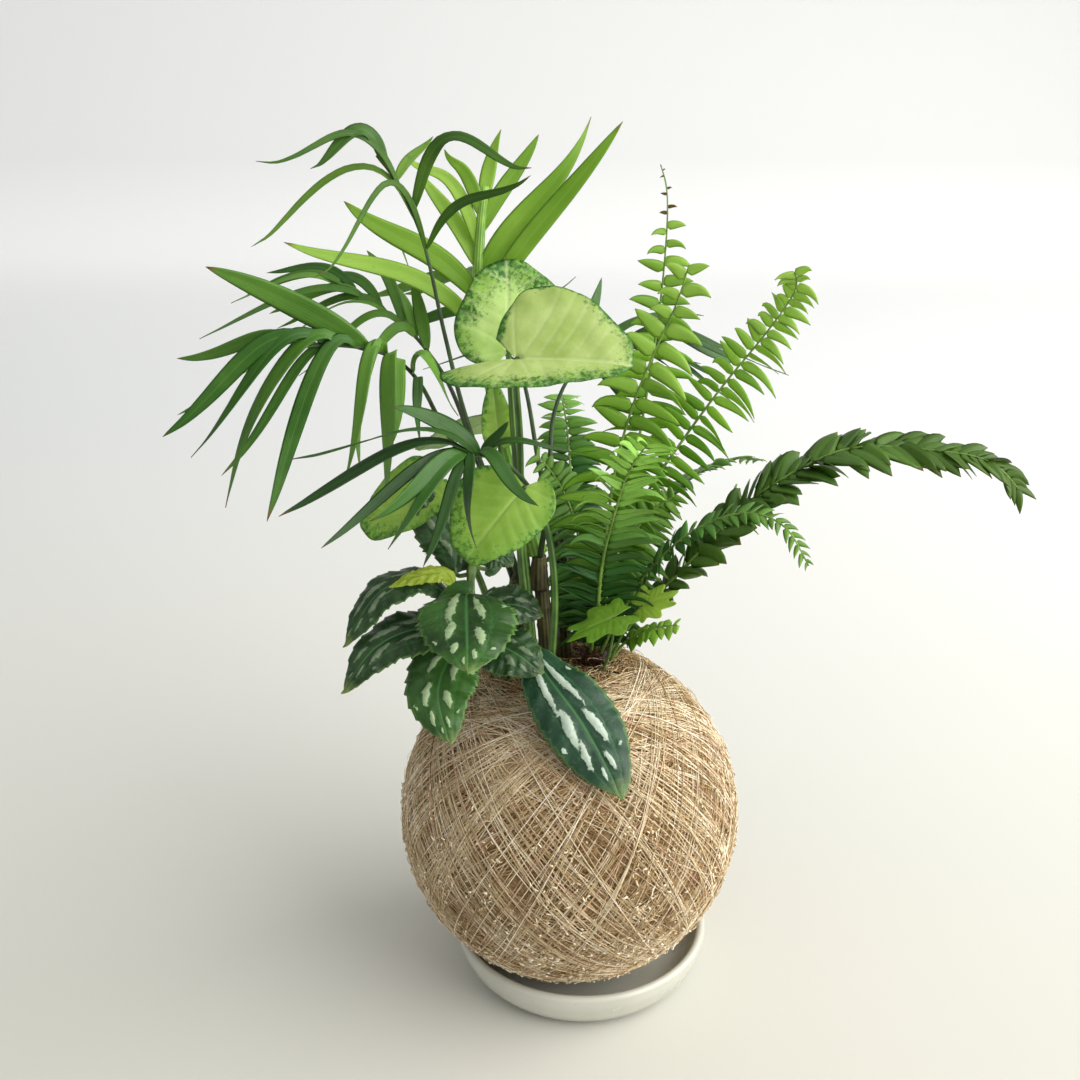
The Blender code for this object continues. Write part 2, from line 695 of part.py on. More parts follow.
# petiole route from the soil to the notch, tip of the blade, the way it faces, half width,
# how far the rear lobes reach back and how much the halves fold up
ARROW_LEAVES = {
    "arrowhead_leaf_front": dict(
        petiole=((-20, 0, 0), (-25, -3, 190), (-25, -3, 216), (-25, -12, 242), (-26, -26, 266)),
        notch=(-27, -30, 276), tip=(11, -45, 280), facing=(0.02, -0.35, 0.94), half_width=24,
        lobe=0.75, fold=0.18),
    "arrowhead_leaf_upper": dict(
        petiole=((-19, 4, 0), (-24, 3, 190), (-27, 3, 230), (-29, 3, 264)),
        notch=(-29, 2, 270), tip=(-30, 13, 302), facing=(0.0, -0.93, 0.36), half_width=19,
        lobe=0.5, fold=0.12),
    "arrowhead_leaf_lower": dict(
        petiole=((-14, -8, 0), (-12, -16, 176), (-14, -28, 204), (-20, -38, 221)),
        notch=(-26, -42, 227), tip=(-47, -57, 206), facing=(-0.1, -0.8, 0.6), half_width=17,
        lobe=0.6, fold=0.08),
    "arrowhead_leaf_left": dict(
        petiole=((-31, 10, 0), (-40, 10, 170), (-52, 8, 200), (-58, 4, 214)),
        notch=(-60, 0, 220), tip=(-86, -6, 202), facing=(-0.15, -0.7, 0.7), half_width=13,
        lobe=0.5, fold=0.15),
    "arrowhead_leaf_young": dict(
        petiole=((-19.5, 10.5, 0), (-22, 9.2, 176), (-24, 8.6, 192), (-32, 7.9, 223)),
        notch=(-33, 7, 232), tip=(-35, 5, 256), facing=(0.2, -0.97, 0.1), half_width=6,
        lobe=0.3, fold=0.3, stalk=0.8),
    "arrowhead_leaf_rear": dict(
        petiole=((-15, 30, 0), (-18, 36, 180), (-26, 46, 206), (-34, 52, 222)),
        notch=(-38, 54, 228), tip=(-70, 66, 214), facing=(-0.1, 0.4, 0.9), half_width=17,
        lobe=0.6, fold=0.12),
}

def arrow_outline(length, half_width, lobe):
    """Half of an arrowhead blade's edge, from beside the notch round the rear lobe to the tip, as
    (along, aside): the lobe swings back by a share of the half width."""
    reach = lobe * half_width
    back, beside = LOBE_NOTCH
    edge = [(-back * reach, max(beside * half_width, NOTCH_WIDTH))]
    for k in range(1, LOBE_STEPS + 1):
        turn = pi * k / LOBE_STEPS
        along = 0.5 * (length - reach) - 0.5 * (length + reach) * cos(turn)
        aside = half_width * sin(turn) ** LOBE_POWER * (1.0 + LOBE_FLARE * cos(turn))
        edge.append((along, aside))
    return edge


def blade_layer(bm, rows, height, lift):
    """One face of an arrowhead blade: the pair of points at its notch, a middle row and the edge row,
    fanned together; returns the three rows of vertices."""
    hub, inside, outside = [[bm.verts.new(lift(x, y, height)) for x, y in row] for row in rows]
    last = len(outside) - 1
    for k in range(last):
        bm.faces.new((inside[k], inside[k + 1], outside[k + 1], outside[k]))
        bm.faces.new((hub[0] if k < last // 2 else hub[1], inside[k + 1], inside[k]))
    bm.faces.new((hub[0], hub[1], inside[last // 2]))
    return hub, inside, outside


def make_arrow_leaf(name, petiole, notch, tip, facing, half_width, lobe, fold, stalk=1.2):
    """An arrowhead leaf: a blade fanned out from its notch and the petiole that carries it."""
    base = Vector(millimetres(notch))
    along = Vector(millimetres(tip)) - base
    length = along.length
    along.normalize()
    up = Vector(facing)
    up = (up - along * up.dot(along)).normalized()
    aside = up.cross(along)
    root = stalk * MM

    def lift(x, y, height):
        sag = TIP_SAG * max(x, 0.0) ** 2 / length
        return base + along * x + aside * y + up * (fold * abs(y) - sag + height)

    bm = bmesh.new()
    right = arrow_outline(length, half_width * MM, lobe)
    edge = right + [(x, -y) for x, y in reversed(right[:-1])]
    inner = [(FAN_MIDDLE * x, FAN_MIDDLE * y) for x, y in edge]
    rows = ([(0.0, root), (0.0, -root)], inner, edge)
    top = blade_layer(bm, rows, BLADE_THICKNESS / 2.0, lift)
    under = blade_layer(bm, rows, -BLADE_THICKNESS / 2.0, lift)
    rims = [(top[2], under[2])]
    for hub, end in ((0, 0), (1, -1)):
        rims.append(([top[0][hub], top[1][end], top[2][end]], [under[0][hub], under[1][end], under[2][end]]))
    for upper, lower in rims:
        for k in range(len(upper) - 1):
            bm.faces.new((upper[k], upper[k + 1], lower[k + 1], lower[k]))

    points = millimetres(petiole)
    points[0, 2] = soil_height(points[0, 0], points[0, 1])
    route = Route(points)
    ring = [top[0][1], under[0][1], under[0][0], top[0][0]]
    for share in np.linspace(1.0, 0.0, PETIOLE_SECTIONS):
        heading = route.heading(share)
        across = (aside - heading * aside.dot(heading)).normalized()
        high = heading.cross(across).normalized()
        following = [bm.verts.new(p) for p in corners(route.at(share), across, high, root, root)]
        bridge(bm, ring, following)
        ring = following
    foot_on_soil(ring)
    bm.faces.new(ring)
    add_object(name, bm, material("arrowhead_leaf", (0.42, 0.58, 0.20), 0.4))


def make_arrowheads():
    """Every arrowhead leaf."""
    for name, leaf in ARROW_LEAVES.items():
        make_arrow_leaf(name, **leaf)


# ---------------------------------------------------------------- aluminium plant

PILEA_STEM = ((-28, -3, 0), (-37, -9, 150), (-43, -13, 168), (-44, -14, 183), (-43, -10, 194))

# each leaf: share of the stem's length at which it leaves, route to its tip, the way it faces,
# half width and the share of the route that is stalk
PILEA_LEAVES = {
    "pilea_leaf_front": dict(
        leaves_at=0.76, route=((-45, -26, 184), (-44, -44, 178), (-43, -60, 169)),
        facing=(0.0, -0.5, 0.85), half_width=19, bare=0.16),
    "pilea_leaf_left": dict(
        leaves_at=0.72, route=((-62, -17, 187), (-78, -24, 184), (-91, -33, 166)),
        facing=(0.0, -0.25, 0.95), half_width=12, bare=0.14),
    "pilea_leaf_left_low": dict(
        leaves_at=0.52, route=((-60, -26, 171), (-78, -34, 167), (-91, -43, 152)),
        facing=(-0.1, -0.5, 0.85), half_width=11, bare=0.14),
    "pilea_leaf_low": dict(
        leaves_at=0.44, route=((-50, -30, 162), (-55, -46, 154), (-50, -60, 140)),
        facing=(-0.1, -0.75, 0.65), half_width=14, bare=0.22),
    "pilea_leaf_under": dict(
        leaves_at=0.36, route=((-34, -21, 161), (-26, -27, 160), (-16, -31, 153)),
        facing=(0.0, -0.6, 0.8), half_width=10, bare=0.16),
    "pilea_leaf_upright": dict(
        leaves_at=0.88, route=((-50, -6, 196), (-56, -5, 204), (-61, -4, 213)),
        facing=(0.1, -0.9, 0.4), half_width=9, bare=0.18),
    "pilea_leaf_yellow": dict(
        leaves_at=0.82, route=((-54, -18, 192), (-64, -22, 193), (-74, -25, 190)),
        facing=(0.0, -0.5, 0.87), half_width=5, bare=0.14),
    "pilea_leaf_right": dict(
        leaves_at=0.93, route=((-37, -9, 194), (-32, -10, 193), (-28, -11, 189)),
        facing=(0.0, -0.7, 0.7), half_width=5, bare=0.2),
    "pilea_leaf_right_low": dict(
        leaves_at=0.56, route=((-34, -12, 173), (-26, -13, 174), (-16, -13, 169)),
        facing=(0.0, -0.6, 0.8), half_width=7, bare=0.16),
}

# leaves whose own stalk stands in the soil: route from the soil to the tip
SOIL_LEAVES = {
    "pilea_leaf_hanging": dict(
        route=((-19, -9, 0), (-20, -13, 151), (-17, -19, 153), (-10, -32, 149), (0, -45, 140),
               (8, -56, 126), (12, -62, 118)),
        facing=(0.0, -0.75, 0.65), half_width=15, bare=0.2, finish="pilea_leaf"),
    "young_leaf_right": dict(
        route=((5, -5, 0), (9, -10, 150), (12, -13, 163), (8, -14, 168), (-2, -13, 164)),
        facing=(0.2, -0.5, 0.85), half_width=7, bare=0.55, finish="young_leaf"),
    "young_leaf_far_right": dict(
        route=((9, 2, 0), (13, 0, 150), (19, -4, 164), (25, -6, 172), (33, -7, 178)),
        facing=(-0.3, -0.6, 0.8), half_width=6, bare=0.55, finish="young_leaf"),
}


def make_ribbon(name, path, facing, half_width, bare, finish, on_soil=False):
    """A single leaf: its stalk and its oval blade in one run of four-cornered sections."""
    outward = Vector(facing).normalized()
    sections = [(bare * k / RIBBON_SECTIONS, RIBBON_STALK, RIBBON_STALK) for k in range(RIBBON_SECTIONS)]
    for share, width in BLADE_SHAPE:
        half = max(half_width * MM * width, TIP_WIDTH / 2.0, RIBBON_STALK * (1.0 - share))
        sections.append((bare + (1.0 - bare) * share, half, BLADE_THICKNESS / 2.0))
    bm = bmesh.new()
    rings = []
    for share, wide, high in sections:
        across, up = section_frame(path, share, outward)
        rings.append([bm.verts.new(p) for p in corners(path.at(share), across, up, wide, high)])
    if on_soil:
        foot_on_soil(rings[0])
    for ring, following in zip(rings, rings[1:]):
        bridge(bm, ring, following)
    bm.faces.new(rings[0])
    bm.faces.new(rings[-1])
    add_object(name, bm, finish)


def make_pilea():
    """The upright stem and the leaves that leave it square to its side."""
    points = millimetres(PILEA_STEM)
    points[0, 2] = soil_height(points[0, 0], points[0, 1])
    stem = Route(points)
    sections = [(share, PILEA_STEM_RADIUS) for share in np.linspace(0.0, 1.0, STEM_SECTIONS)]
    bm, _ = grow_tube(stem, sections, STEM_SIDES, Vector((0.0, -1.0, 0.0)))
    add_object("pilea_stem", bm, material("pilea_stem", (0.20, 0.30, 0.08), 0.5))
    finish = material("pilea_leaf", (0.05, 0.14, 0.06), 0.35)
    for name, leaf in PILEA_LEAVES.items():
        share = leaf["leaves_at"]
        outer = millimetres(leaf["route"])
        heading = stem.heading(share)
        way = Vector(outer[0]) - stem.at(share)
        way = (way - heading * way.dot(heading)).normalized()
        start = stem.at(share) + way * (PILEA_STEM_RADIUS + GAP)
        path = Route(np.vstack([start, start + way * LEAF_REACH, outer]))
        make_ribbon(name, path, leaf["facing"], leaf["half_width"], leaf["bare"], finish)


def make_soil_leaves():
    """The hanging leaf and the two seedling leaves, whose stalks stand in the soil and start upright."""
    finishes = {
        "pilea_leaf": material("pilea_leaf", (0.05, 0.14, 0.06), 0.35),
        "young_leaf": material("young_leaf", (0.45, 0.62, 0.10), 0.45),
    }
    for name, leaf in SOIL_LEAVES.items():
        points = millimetres(leaf["route"])
        points[0, 2] = soil_height(points[0, 0], points[0, 1])
        above = points[0] + np.array((0.0, 0.0, MM))
        path = Route(np.vstack([points[0], above, points[1:]]))
        finish = finishes[leaf["finish"]]
        make_ribbon(name, path, leaf["facing"], leaf["half_width"], leaf["bare"], finish, on_soil=True)


def main():
    """Builds the whole kokedama."""
    clear_scene()
    make_saucer()
    make_ball()
    make_palm()
    make_fern()
    make_arrowheads()
    make_pilea()
    make_soil_leaves()


main()
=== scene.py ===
# %% [markdown]
# # A kokedama: four small plants in a ball wound with twine
# The real thing is a root ball the size of a grapefruit, wound with hundreds of turns of thin thread
# and planted with a parlour palm, a sword fern, arrowhead leaves and an aluminium plant. The packed
# CAD model is the fixed frame: it says where each stalk and leaf grows and how long it is. This
# lesson grows the fine shape of each one in the same place and hides the plain solid behind it.

# %% Load the frame
from math import cos, pi, radians, sin, sqrt

import bpy
import numpy as np
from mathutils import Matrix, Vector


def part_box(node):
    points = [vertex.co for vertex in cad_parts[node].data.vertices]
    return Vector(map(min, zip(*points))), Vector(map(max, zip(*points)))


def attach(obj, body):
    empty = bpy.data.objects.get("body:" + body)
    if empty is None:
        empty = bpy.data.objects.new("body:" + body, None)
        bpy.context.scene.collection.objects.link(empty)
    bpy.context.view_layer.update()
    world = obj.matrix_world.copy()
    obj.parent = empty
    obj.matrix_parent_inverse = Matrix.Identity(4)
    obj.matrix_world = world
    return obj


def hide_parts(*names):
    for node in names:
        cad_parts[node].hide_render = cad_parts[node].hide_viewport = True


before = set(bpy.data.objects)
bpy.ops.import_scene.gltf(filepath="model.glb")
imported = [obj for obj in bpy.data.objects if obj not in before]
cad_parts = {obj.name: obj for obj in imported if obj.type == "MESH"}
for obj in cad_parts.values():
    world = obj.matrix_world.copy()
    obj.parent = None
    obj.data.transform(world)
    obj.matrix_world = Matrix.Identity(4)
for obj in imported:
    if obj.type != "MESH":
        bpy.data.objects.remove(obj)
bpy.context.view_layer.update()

MM = 0.001

# %% [markdown]
# ## Camera, floor and light
# The ball stands on a seamless white sweep. A large soft window on the right lights it: the ball and
# the floor are bright on that side and turn a warm grey on the left. The camera looks down a little,
# from in front, so the floor fills the whole picture. A sweep could be a modelled cove, but its curve
# is far away, so a plain sheet whose back edge bends up is enough. The paper's colour holds painted
# light and shade by place. Painted shade makes it warm and darker near by. Far off it is pale and
# cool, with painted shade on the left and painted light on the right, as from the window. A painted
# highlight makes it nearly white where it bends up.

# %% Camera
CAMERA_AIM = np.array((-17.6, 0.0, 195.9)) * MM
CAMERA_DISTANCE = 504.7 * MM
CAMERA_PITCH = radians(21.8)
CAMERA_ANGLE = radians(45.0)
lens = bpy.data.cameras.new("camera")
lens.sensor_fit = "HORIZONTAL"
lens.angle = CAMERA_ANGLE
lens.clip_start = 0.01
camera = bpy.data.objects.new("camera", lens)
back_off = np.array((0.0, -cos(CAMERA_PITCH), sin(CAMERA_PITCH))) * CAMERA_DISTANCE
camera.location = CAMERA_AIM + back_off
camera.rotation_euler = (pi / 2 - CAMERA_PITCH, 0.0, 0.0)
bpy.context.collection.objects.link(camera)
bpy.context.scene.camera = camera
print("camera stands at", [round(x, 3) for x in camera.location])

# %% Node helpers
def tone(code):
    """A colour written as six hex digits, turned from screen values to light values:
    v / 12.92 when small, otherwise ((v + 0.055) / 1.055) to the power 2.4."""
    parts = np.array([int(code[k:k + 2], 16) for k in (0, 2, 4)]) / 255.0
    light = np.where(parts <= 0.04045, parts / 12.92, ((parts + 0.055) / 1.055) ** 2.4)
    return (*light, 1.0)


class Recipe:
    """A node material that is written down as a recipe: each call adds one node."""

    def __init__(self, name):
        self.material = bpy.data.materials.new(name)
        self.material.use_nodes = True
        self.tree = self.material.node_tree
        self.shader = self.tree.nodes["Principled BSDF"]
        self.output = self.tree.nodes["Material Output"]

    def put(self, socket, value):
        if isinstance(value, bpy.types.NodeSocket):
            self.tree.links.new(value, socket)
        else:
            socket.default_value = value

    def node(self, kind, inputs=(), **settings):
        made = self.tree.nodes.new("ShaderNode" + kind)
        for key, value in settings.items():
            setattr(made, key, value)
        for key, value in dict(inputs).items():
            self.put(made.inputs[key], value)
        return made

    def place(self):
        return self.node("TexCoord").outputs["Object"]

    def growth(self):
        """Three sockets: along the leaf 0 to 1, across it -1 to 1, and one chance per leaf 0 to 1."""
        read = self.node("Attribute", attribute_name="growth")
        return self.node("SeparateXYZ", {0: read.outputs["Vector"]}).outputs

    def mark(self):
        return self.node("Attribute", attribute_name="mark").outputs["Fac"]

    def noise(self, scale, detail=3.0, rough=0.55, vector=None, distortion=0.0):
        made = self.node("TexNoise", {"Scale": scale, "Detail": detail, "Roughness": rough,
                                      "Distortion": distortion, "Vector": vector or self.place()})
        return made.outputs["Fac"]

    def maths(self, operation, a, b=0.0, c=0.0):
        return self.node("Math", {0: a, 1: b, 2: c}, operation=operation).outputs[0]

    def span(self, value, low, high, to_low=0.0, to_high=1.0):
        made = self.node("MapRange", {"Value": value, "From Min": low, "From Max": high,
                                      "To Min": to_low, "To Max": to_high})
        return made.outputs[0]

    def blend(self, share, a, b, kind="MIX"):
        made = self.node("Mix", data_type="RGBA", blend_type=kind)
        self.put(made.inputs[0], share)
        self.put(made.inputs[6], a)
        self.put(made.inputs[7], b)
        return made.outputs[2]

    def ramp(self, value, *stops):
        made = self.node("ValToRGB", {"Fac": value})
        band = made.color_ramp
        while len(band.elements) < len(stops):
            band.elements.new(0.5)
        for element, (position, colour) in zip(band.elements, stops):
            element.position = position
            element.color = colour
        return made.outputs["Color"]

    def bump(self, height, distance, strength=1.0):
        made = self.node("Bump", {"Strength": strength, "Distance": distance, "Height": height})
        self.put(self.shader.inputs["Normal"], made.outputs["Normal"])

    def finish(self, colour, roughness, **constants):
        self.put(self.shader.inputs["Base Color"], colour)
        self.put(self.shader.inputs["Roughness"], roughness)
        for key, value in constants.items():
            self.shader.inputs[key.replace("_", " ")].default_value = value
        return self.material

    def glow(self, colour, share):
        """Lets light through a thin leaf: a share of a translucent shader beside the main one."""
        through = self.node("BsdfTranslucent", {"Color": colour})
        both = self.node("MixShader", {0: share, 1: self.shader.outputs[0], 2: through.outputs[0]})
        self.put(self.output.inputs["Surface"], both.outputs[0])


print("a mid grey is", tone("808080")[0])

# %% Floor and light
FLOOR_HALF = 3.0
FLOOR_FRONT = -2.4
FLOOR_RUN = 5.6
FLOOR_BACK = 1.6
FLOOR_RISE = 1.6
SETBACK = 0.55
STEEPNESS = 0.7
across, along = np.meshgrid(np.linspace(-1.0, 1.0, 9), np.linspace(0.0, 1.0, 33))
run = FLOOR_FRONT + along * FLOOR_RUN
bent = np.clip(run - FLOOR_BACK, 0.0, None)
height = FLOOR_RISE * (bent / FLOOR_RISE) ** 2 * STEEPNESS
sweep = np.stack([across * FLOOR_HALF, run - SETBACK * bent, height], -1)
number = np.arange(sweep[..., 0].size).reshape(along.shape)
cells = np.stack([number[:-1, :-1], number[:-1, 1:], number[1:, 1:], number[1:, :-1]], -1)
sheet = bpy.data.meshes.new("sweep")
sheet.from_pydata(sweep.reshape(-1, 3).tolist(), [], cells.reshape(-1, 4).tolist())
sheet.shade_smooth()
floor = bpy.data.objects.new("sweep", sheet)
bpy.context.collection.objects.link(floor)
paper = Recipe("paper_sweep_painted_light")
where = paper.node("SeparateXYZ", {0: paper.place()}).outputs
# Painted shade: near by, the paper is darker and warm.
painted_shade_near = paper.blend(paper.span(paper.noise(1.3), 0.3, 0.7), tone("bab8aa"), tone("c0beb0"))
# Painted light: far off and up the wall, the paper is darker on the left and lighter on the right, as from
# the window.
far = paper.blend(paper.span(where["X"], -1.0, 1.0), tone("d9dbdb"), tone("f4f4f3"))
wall_painted_light = paper.blend(paper.span(where["X"], -1.2, 1.2), tone("e4e5e4"), tone("e9e9e8"))
# Painted highlight: where the sheet bends up, the paper is nearly white.
painted_bend_highlight = paper.blend(paper.span(where["X"], -1.2, 1.2), tone("f4f5f4"), tone("fdfdfc"))
wall_painted_light = paper.blend(paper.span(where["Z"], 0.0, 0.16), painted_bend_highlight, wall_painted_light)
far = paper.blend(paper.span(where["Y"], 0.9, 1.7), far, wall_painted_light)
sheet.materials.append(paper.finish(paper.blend(paper.span(where["Y"], -0.4, 0.9), painted_shade_near, far), 0.85))

world = bpy.data.worlds.new("room")
bpy.context.scene.world = world
world.use_nodes = True
sky = world.node_tree
sky.nodes["Background"].inputs["Color"].default_value = (0.97, 0.972, 0.968, 1.0)
way_out = sky.nodes.new("ShaderNodeTexCoord").outputs["Generated"]
parts = sky.nodes.new("ShaderNodeSeparateXYZ")
sky.links.new(way_out, parts.inputs[0])
brightness = sky.nodes.new("ShaderNodeMapRange")
LEFT_SKY, RIGHT_SKY = 0.47, 0.98
for socket, number in zip(brightness.inputs[1:5], (-1.0, 1.0, LEFT_SKY, RIGHT_SKY)):
    socket.default_value = number
sky.links.new(parts.outputs["X"], brightness.inputs[0])
sky.links.new(brightness.outputs[0], sky.nodes["Background"].inputs["Strength"])


def soft_light(name, place, aim, size, power, colour):
    """A square soft lamp at a place, turned towards an aim: size in metres, power in watts."""
    lamp = bpy.data.lights.new(name, "AREA")
    lamp.shape = "SQUARE"
    lamp.size = size
    lamp.energy = power
    lamp.color = colour
    made = bpy.data.objects.new(name, lamp)
    made.location = place
    gaze = Vector(aim) - Vector(place)
    made.rotation_euler = gaze.to_track_quat("-Z", "Y").to_euler()
    bpy.context.collection.objects.link(made)


soft_light("window", (1.3, -0.35, 0.6), (0.0, 0.0, 0.14), 2.2, 54.0, (1.0, 0.985, 0.95))
soft_light("ceiling", (0.3, -0.6, 1.7), (0.0, 0.0, 0.1), 1.2, 5.0, (0.97, 0.98, 1.0))
bpy.context.scene.view_settings.view_transform = "Standard"
print("floor sweep with", len(sheet.polygons), "faces and two soft lamps")

# %% [markdown]
# ## Tools for growing things
# Nearly every piece of a plant is a closed tube: a round stalk, a strap leaflet or a broad leaf is a
# ring of points carried along a curve. Blender's curves with a bevel could do the stalks, but not a
# leaf whose edge has teeth, so one numpy tool makes all of them: it takes the rings as one array and
# works out the faces, a flat map for baking, and three numbers per point that the materials read:
# how far along and across its leaf a point lies, and a chance number for the whole leaf.

# %% Curves to grow along
def unit(vectors):
    """Vectors divided by their own length."""
    vectors = np.asarray(vectors, float)
    return vectors / np.linalg.norm(vectors, axis=-1, keepdims=True)


def millimetres(points):
    return np.array(points, float) * MM


def dice(word):
    """A seeded random generator of a piece's own, so that pieces don't disturb each other."""
    return np.random.default_rng(sum(ord(letter) * (k + 1) for k, letter in enumerate(word)))


class Route:
    """A smooth curve through a few points (Catmull-Rom): between points b and c, with a before and d
    after, it is half of 2b + (c - a)t + (2a - 5b + 4c - d)t^2 + (3b - a - 3c + d)t^3. It is read by
    its share of length, 0 to 1."""

    STEPS = 24

    def __init__(self, points):
        given = np.array(points, float)
        knots = np.vstack([2.0 * given[0] - given[1], given, 2.0 * given[-1] - given[-2]])
        t = np.linspace(0.0, 1.0, self.STEPS, endpoint=False)[:, None]
        runs = []
        for a, b, c, d in zip(knots, knots[1:], knots[2:], knots[3:]):
            bend = 2.0 * b + (c - a) * t + (2.0 * a - 5.0 * b + 4.0 * c - d) * t ** 2
            runs.append(0.5 * (bend + (3.0 * b - a - 3.0 * c + d) * t ** 3))
        self.points = np.vstack(runs + [given[-1:]])
        steps = np.linalg.norm(np.diff(self.points, axis=0), axis=1)
        self.along = np.concatenate([[0.0], np.cumsum(steps)])
        self.length = self.along[-1]

    def at(self, shares):
        reach = np.clip(shares, 0.0, 1.0) * self.length
        return np.stack([np.interp(reach, self.along, self.points[:, k]) for k in range(3)], -1)

    def heading(self, shares):
        shares = np.asarray(shares, float)
        return unit(self.at(np.minimum(shares + 0.01, 1.0)) - self.at(np.maximum(shares - 0.01, 0.0)))


def frames(heading, facing):
    """Across and up directions along a curve: across = heading x facing, up = across x heading."""
    side = unit(np.cross(heading, facing))
    return side, np.cross(side, heading)


def ripple(points, size, word, waves=14):
    """Smooth lumps between about -1 and 1: a sum of plane waves whose length is near size, each in a
    chance direction with a chance start, divided by the root of half their number."""
    throw = dice(word)
    ways = unit(throw.normal(size=(waves, 3))) * 2.0 * pi / (size * throw.uniform(0.7, 1.5, (waves, 1)))
    phase = throw.uniform(0.0, 2.0 * pi, waves)
    return np.sin(points @ ways.T + phase).sum(-1) / sqrt(waves / 2.0) / 1.6


# %% From rings to one mesh
def ring_volume(rings, looped):
    """Six times the volume inside each tube about its own middle, by the sum of the corner products
    of its faces. Its sign says whether the rings run the outward way."""
    points = rings - rings.mean((1, 2), keepdims=True)
    here, there = (points, np.roll(points, -1, 1)) if looped else (points[:, :-1], points[:, 1:])
    here_next, there_next = np.roll(here, -1, 2), np.roll(there, -1, 2)
    first = np.einsum("...i,...i", here, np.cross(here_next, there_next))
    second = np.einsum("...i,...i", here, np.cross(there_next, there))
    return (first + second).sum((1, 2))


class Body:
    """Gathers closed tubes and makes one mesh piece of them. Rings are an array of
    (tubes, sections, points round, 3); neighbouring sections are joined by four-cornered faces and
    each end is closed by one flat face, or the last section joins the first when looped."""

    def __init__(self):
        self.blocks = []

    def add(self, rings, across=0.0, chance=0.0, mark=0.0, finish=0, looped=False, along=None):
        tubes, sections, sides, _ = rings.shape
        if along is None:
            along = np.linspace(0.0, 1.0, sections)[None, :, None]
        chance = np.reshape(np.broadcast_to(chance, tubes), (tubes, 1, 1))
        shape = (tubes, sections, sides)
        data = np.stack([np.broadcast_to(x, shape) for x in (along, across, chance, mark)], -1)
        inward = ring_volume(rings, looped) < 0.0
        rings = np.where(inward[:, None, None, None], rings[:, :, ::-1], rings)
        data = np.where(inward[:, None, None, None], data[:, :, ::-1], data)
        self.blocks.append((rings, data, finish, looped))

    @staticmethod
    def faces(rings, looped):
        """Corner numbers of the side faces and of the end faces."""
        tubes, sections, sides, _ = rings.shape
        number = np.arange(tubes * sections * sides).reshape(tubes, sections, sides)
        here, there = (number, np.roll(number, -1, 1)) if looped else (number[:, :-1], number[:, 1:])
        sidewalls = np.stack([here, np.roll(here, -1, 2), np.roll(there, -1, 2), there], -1)
        ends = np.stack([number[:, 0, ::-1], number[:, -1]], 1)
        return sidewalls, ends if not looped else ends[:0]

    @staticmethod
    def chart(shape, strip, aspect):
        """A flat map: the strip of the square between two heights is cut into one cell per tube; a
        tube is unrolled over most of its cell and its two ends lie as small discs beside it."""
        tubes, rows, sides = shape
        low, high = strip
        columns = max(1, round(sqrt(tubes / max(aspect * (high - low), 1e-6))))
        lines = -(-tubes // columns)
        cell = np.array((1.0 / columns, (high - low) / lines))
        which = np.arange(tubes)
        corner = np.stack([which % columns, which // columns], -1) * cell + (0.0, low)
        i, j = np.meshgrid(np.arange(rows), np.arange(sides), indexing="ij")
        steps = np.array(((0, 0), (0, 1), (1, 1), (1, 0)))
        spot = np.stack([i, j], -1)[:, :, None] + steps
        spot = spot / (rows, sides) * (0.84, 0.94) + (0.02, 0.03)
        walls = corner[:, None, None, None] + spot * cell
        turn = 2.0 * pi * np.arange(sides) / sides
        disc = np.stack([np.cos(turn), np.sin(turn)], -1) * (0.04, 0.18)
        middle = np.array(((0.93, 0.27), (0.93, 0.73)))
        ends = corner[:, None, None] + (middle[:, None] + disc) * cell
        return walls, ends

    def piece(self, name, nodes, finishes, smooth=True):
        sizes = []
        for rings, *_ in self.blocks:
            length = np.linalg.norm(np.diff(rings.mean(2), axis=1), axis=-1).sum(1).mean()
            girth = np.linalg.norm(rings - np.roll(rings, 1, 2), axis=-1).sum(2).mean()
            sizes.append((len(rings) * length * girth, length / max(girth, 1e-9)))
        heights = np.cumsum([0.0] + [area for area, _ in sizes])
        heights /= heights[-1]
        points, data, corners, totals, places, kinds = [], [], [], [], [], []
        first = 0
        for k, (rings, facts, finish, looped) in enumerate(self.blocks):
            walls, ends = self.faces(rings, looped)
            tubes, rows, sides, _ = walls.shape
            flat, discs = self.chart((tubes, rows, sides), heights[k:k + 2], sizes[k][1])
            points.append(rings.reshape(-1, 3))
            data.append(facts.reshape(-1, 4))
            corners += [walls.ravel() + first, ends.ravel() + first]
            totals += [np.full(walls.size // 4, 4), np.full(ends.size // sides, sides)]
            places += [flat.reshape(-1, 2), discs.reshape(-1, 2)[:ends.size]]
            kinds.append(np.full(walls.size // 4 + ends.size // sides, finish))
            first += rings.size // 3
        points, data, corners, totals, places, kinds = map(
            np.concatenate, (points, data, corners, totals, places, kinds))
        mesh = bpy.data.meshes.new(name)
        mesh.vertices.add(len(points))
        mesh.vertices.foreach_set("co", points.astype(np.float32).ravel())
        mesh.loops.add(len(corners))
        mesh.loops.foreach_set("vertex_index", corners.astype(np.int32))
        mesh.polygons.add(len(totals))
        mesh.polygons.foreach_set("loop_start", (np.cumsum(totals) - totals).astype(np.int32))
        mesh.polygons.foreach_set("material_index", kinds.astype(np.int32))
        mesh.update(calc_edges=True)
        growth = mesh.attributes.new("growth", "FLOAT_VECTOR", "POINT")
        growth.data.foreach_set("vector", data[:, :3].astype(np.float32).ravel())
        mark = mesh.attributes.new("mark", "FLOAT", "POINT")
        mark.data.foreach_set("value", data[:, 3].astype(np.float32))
        mesh.uv_layers.new(name="OFBake").data.foreach_set("uv", places.astype(np.float32).ravel())
        if smooth:
            mesh.shade_smooth()
        for made in finishes:
            mesh.materials.append(made)
        thing = bpy.data.objects.new(name, mesh)
        bpy.context.collection.objects.link(thing)
        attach(thing, "root")
        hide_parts(*nodes)
        print(f"{name}: {int((totals - 2).sum())} triangles")
        return thing


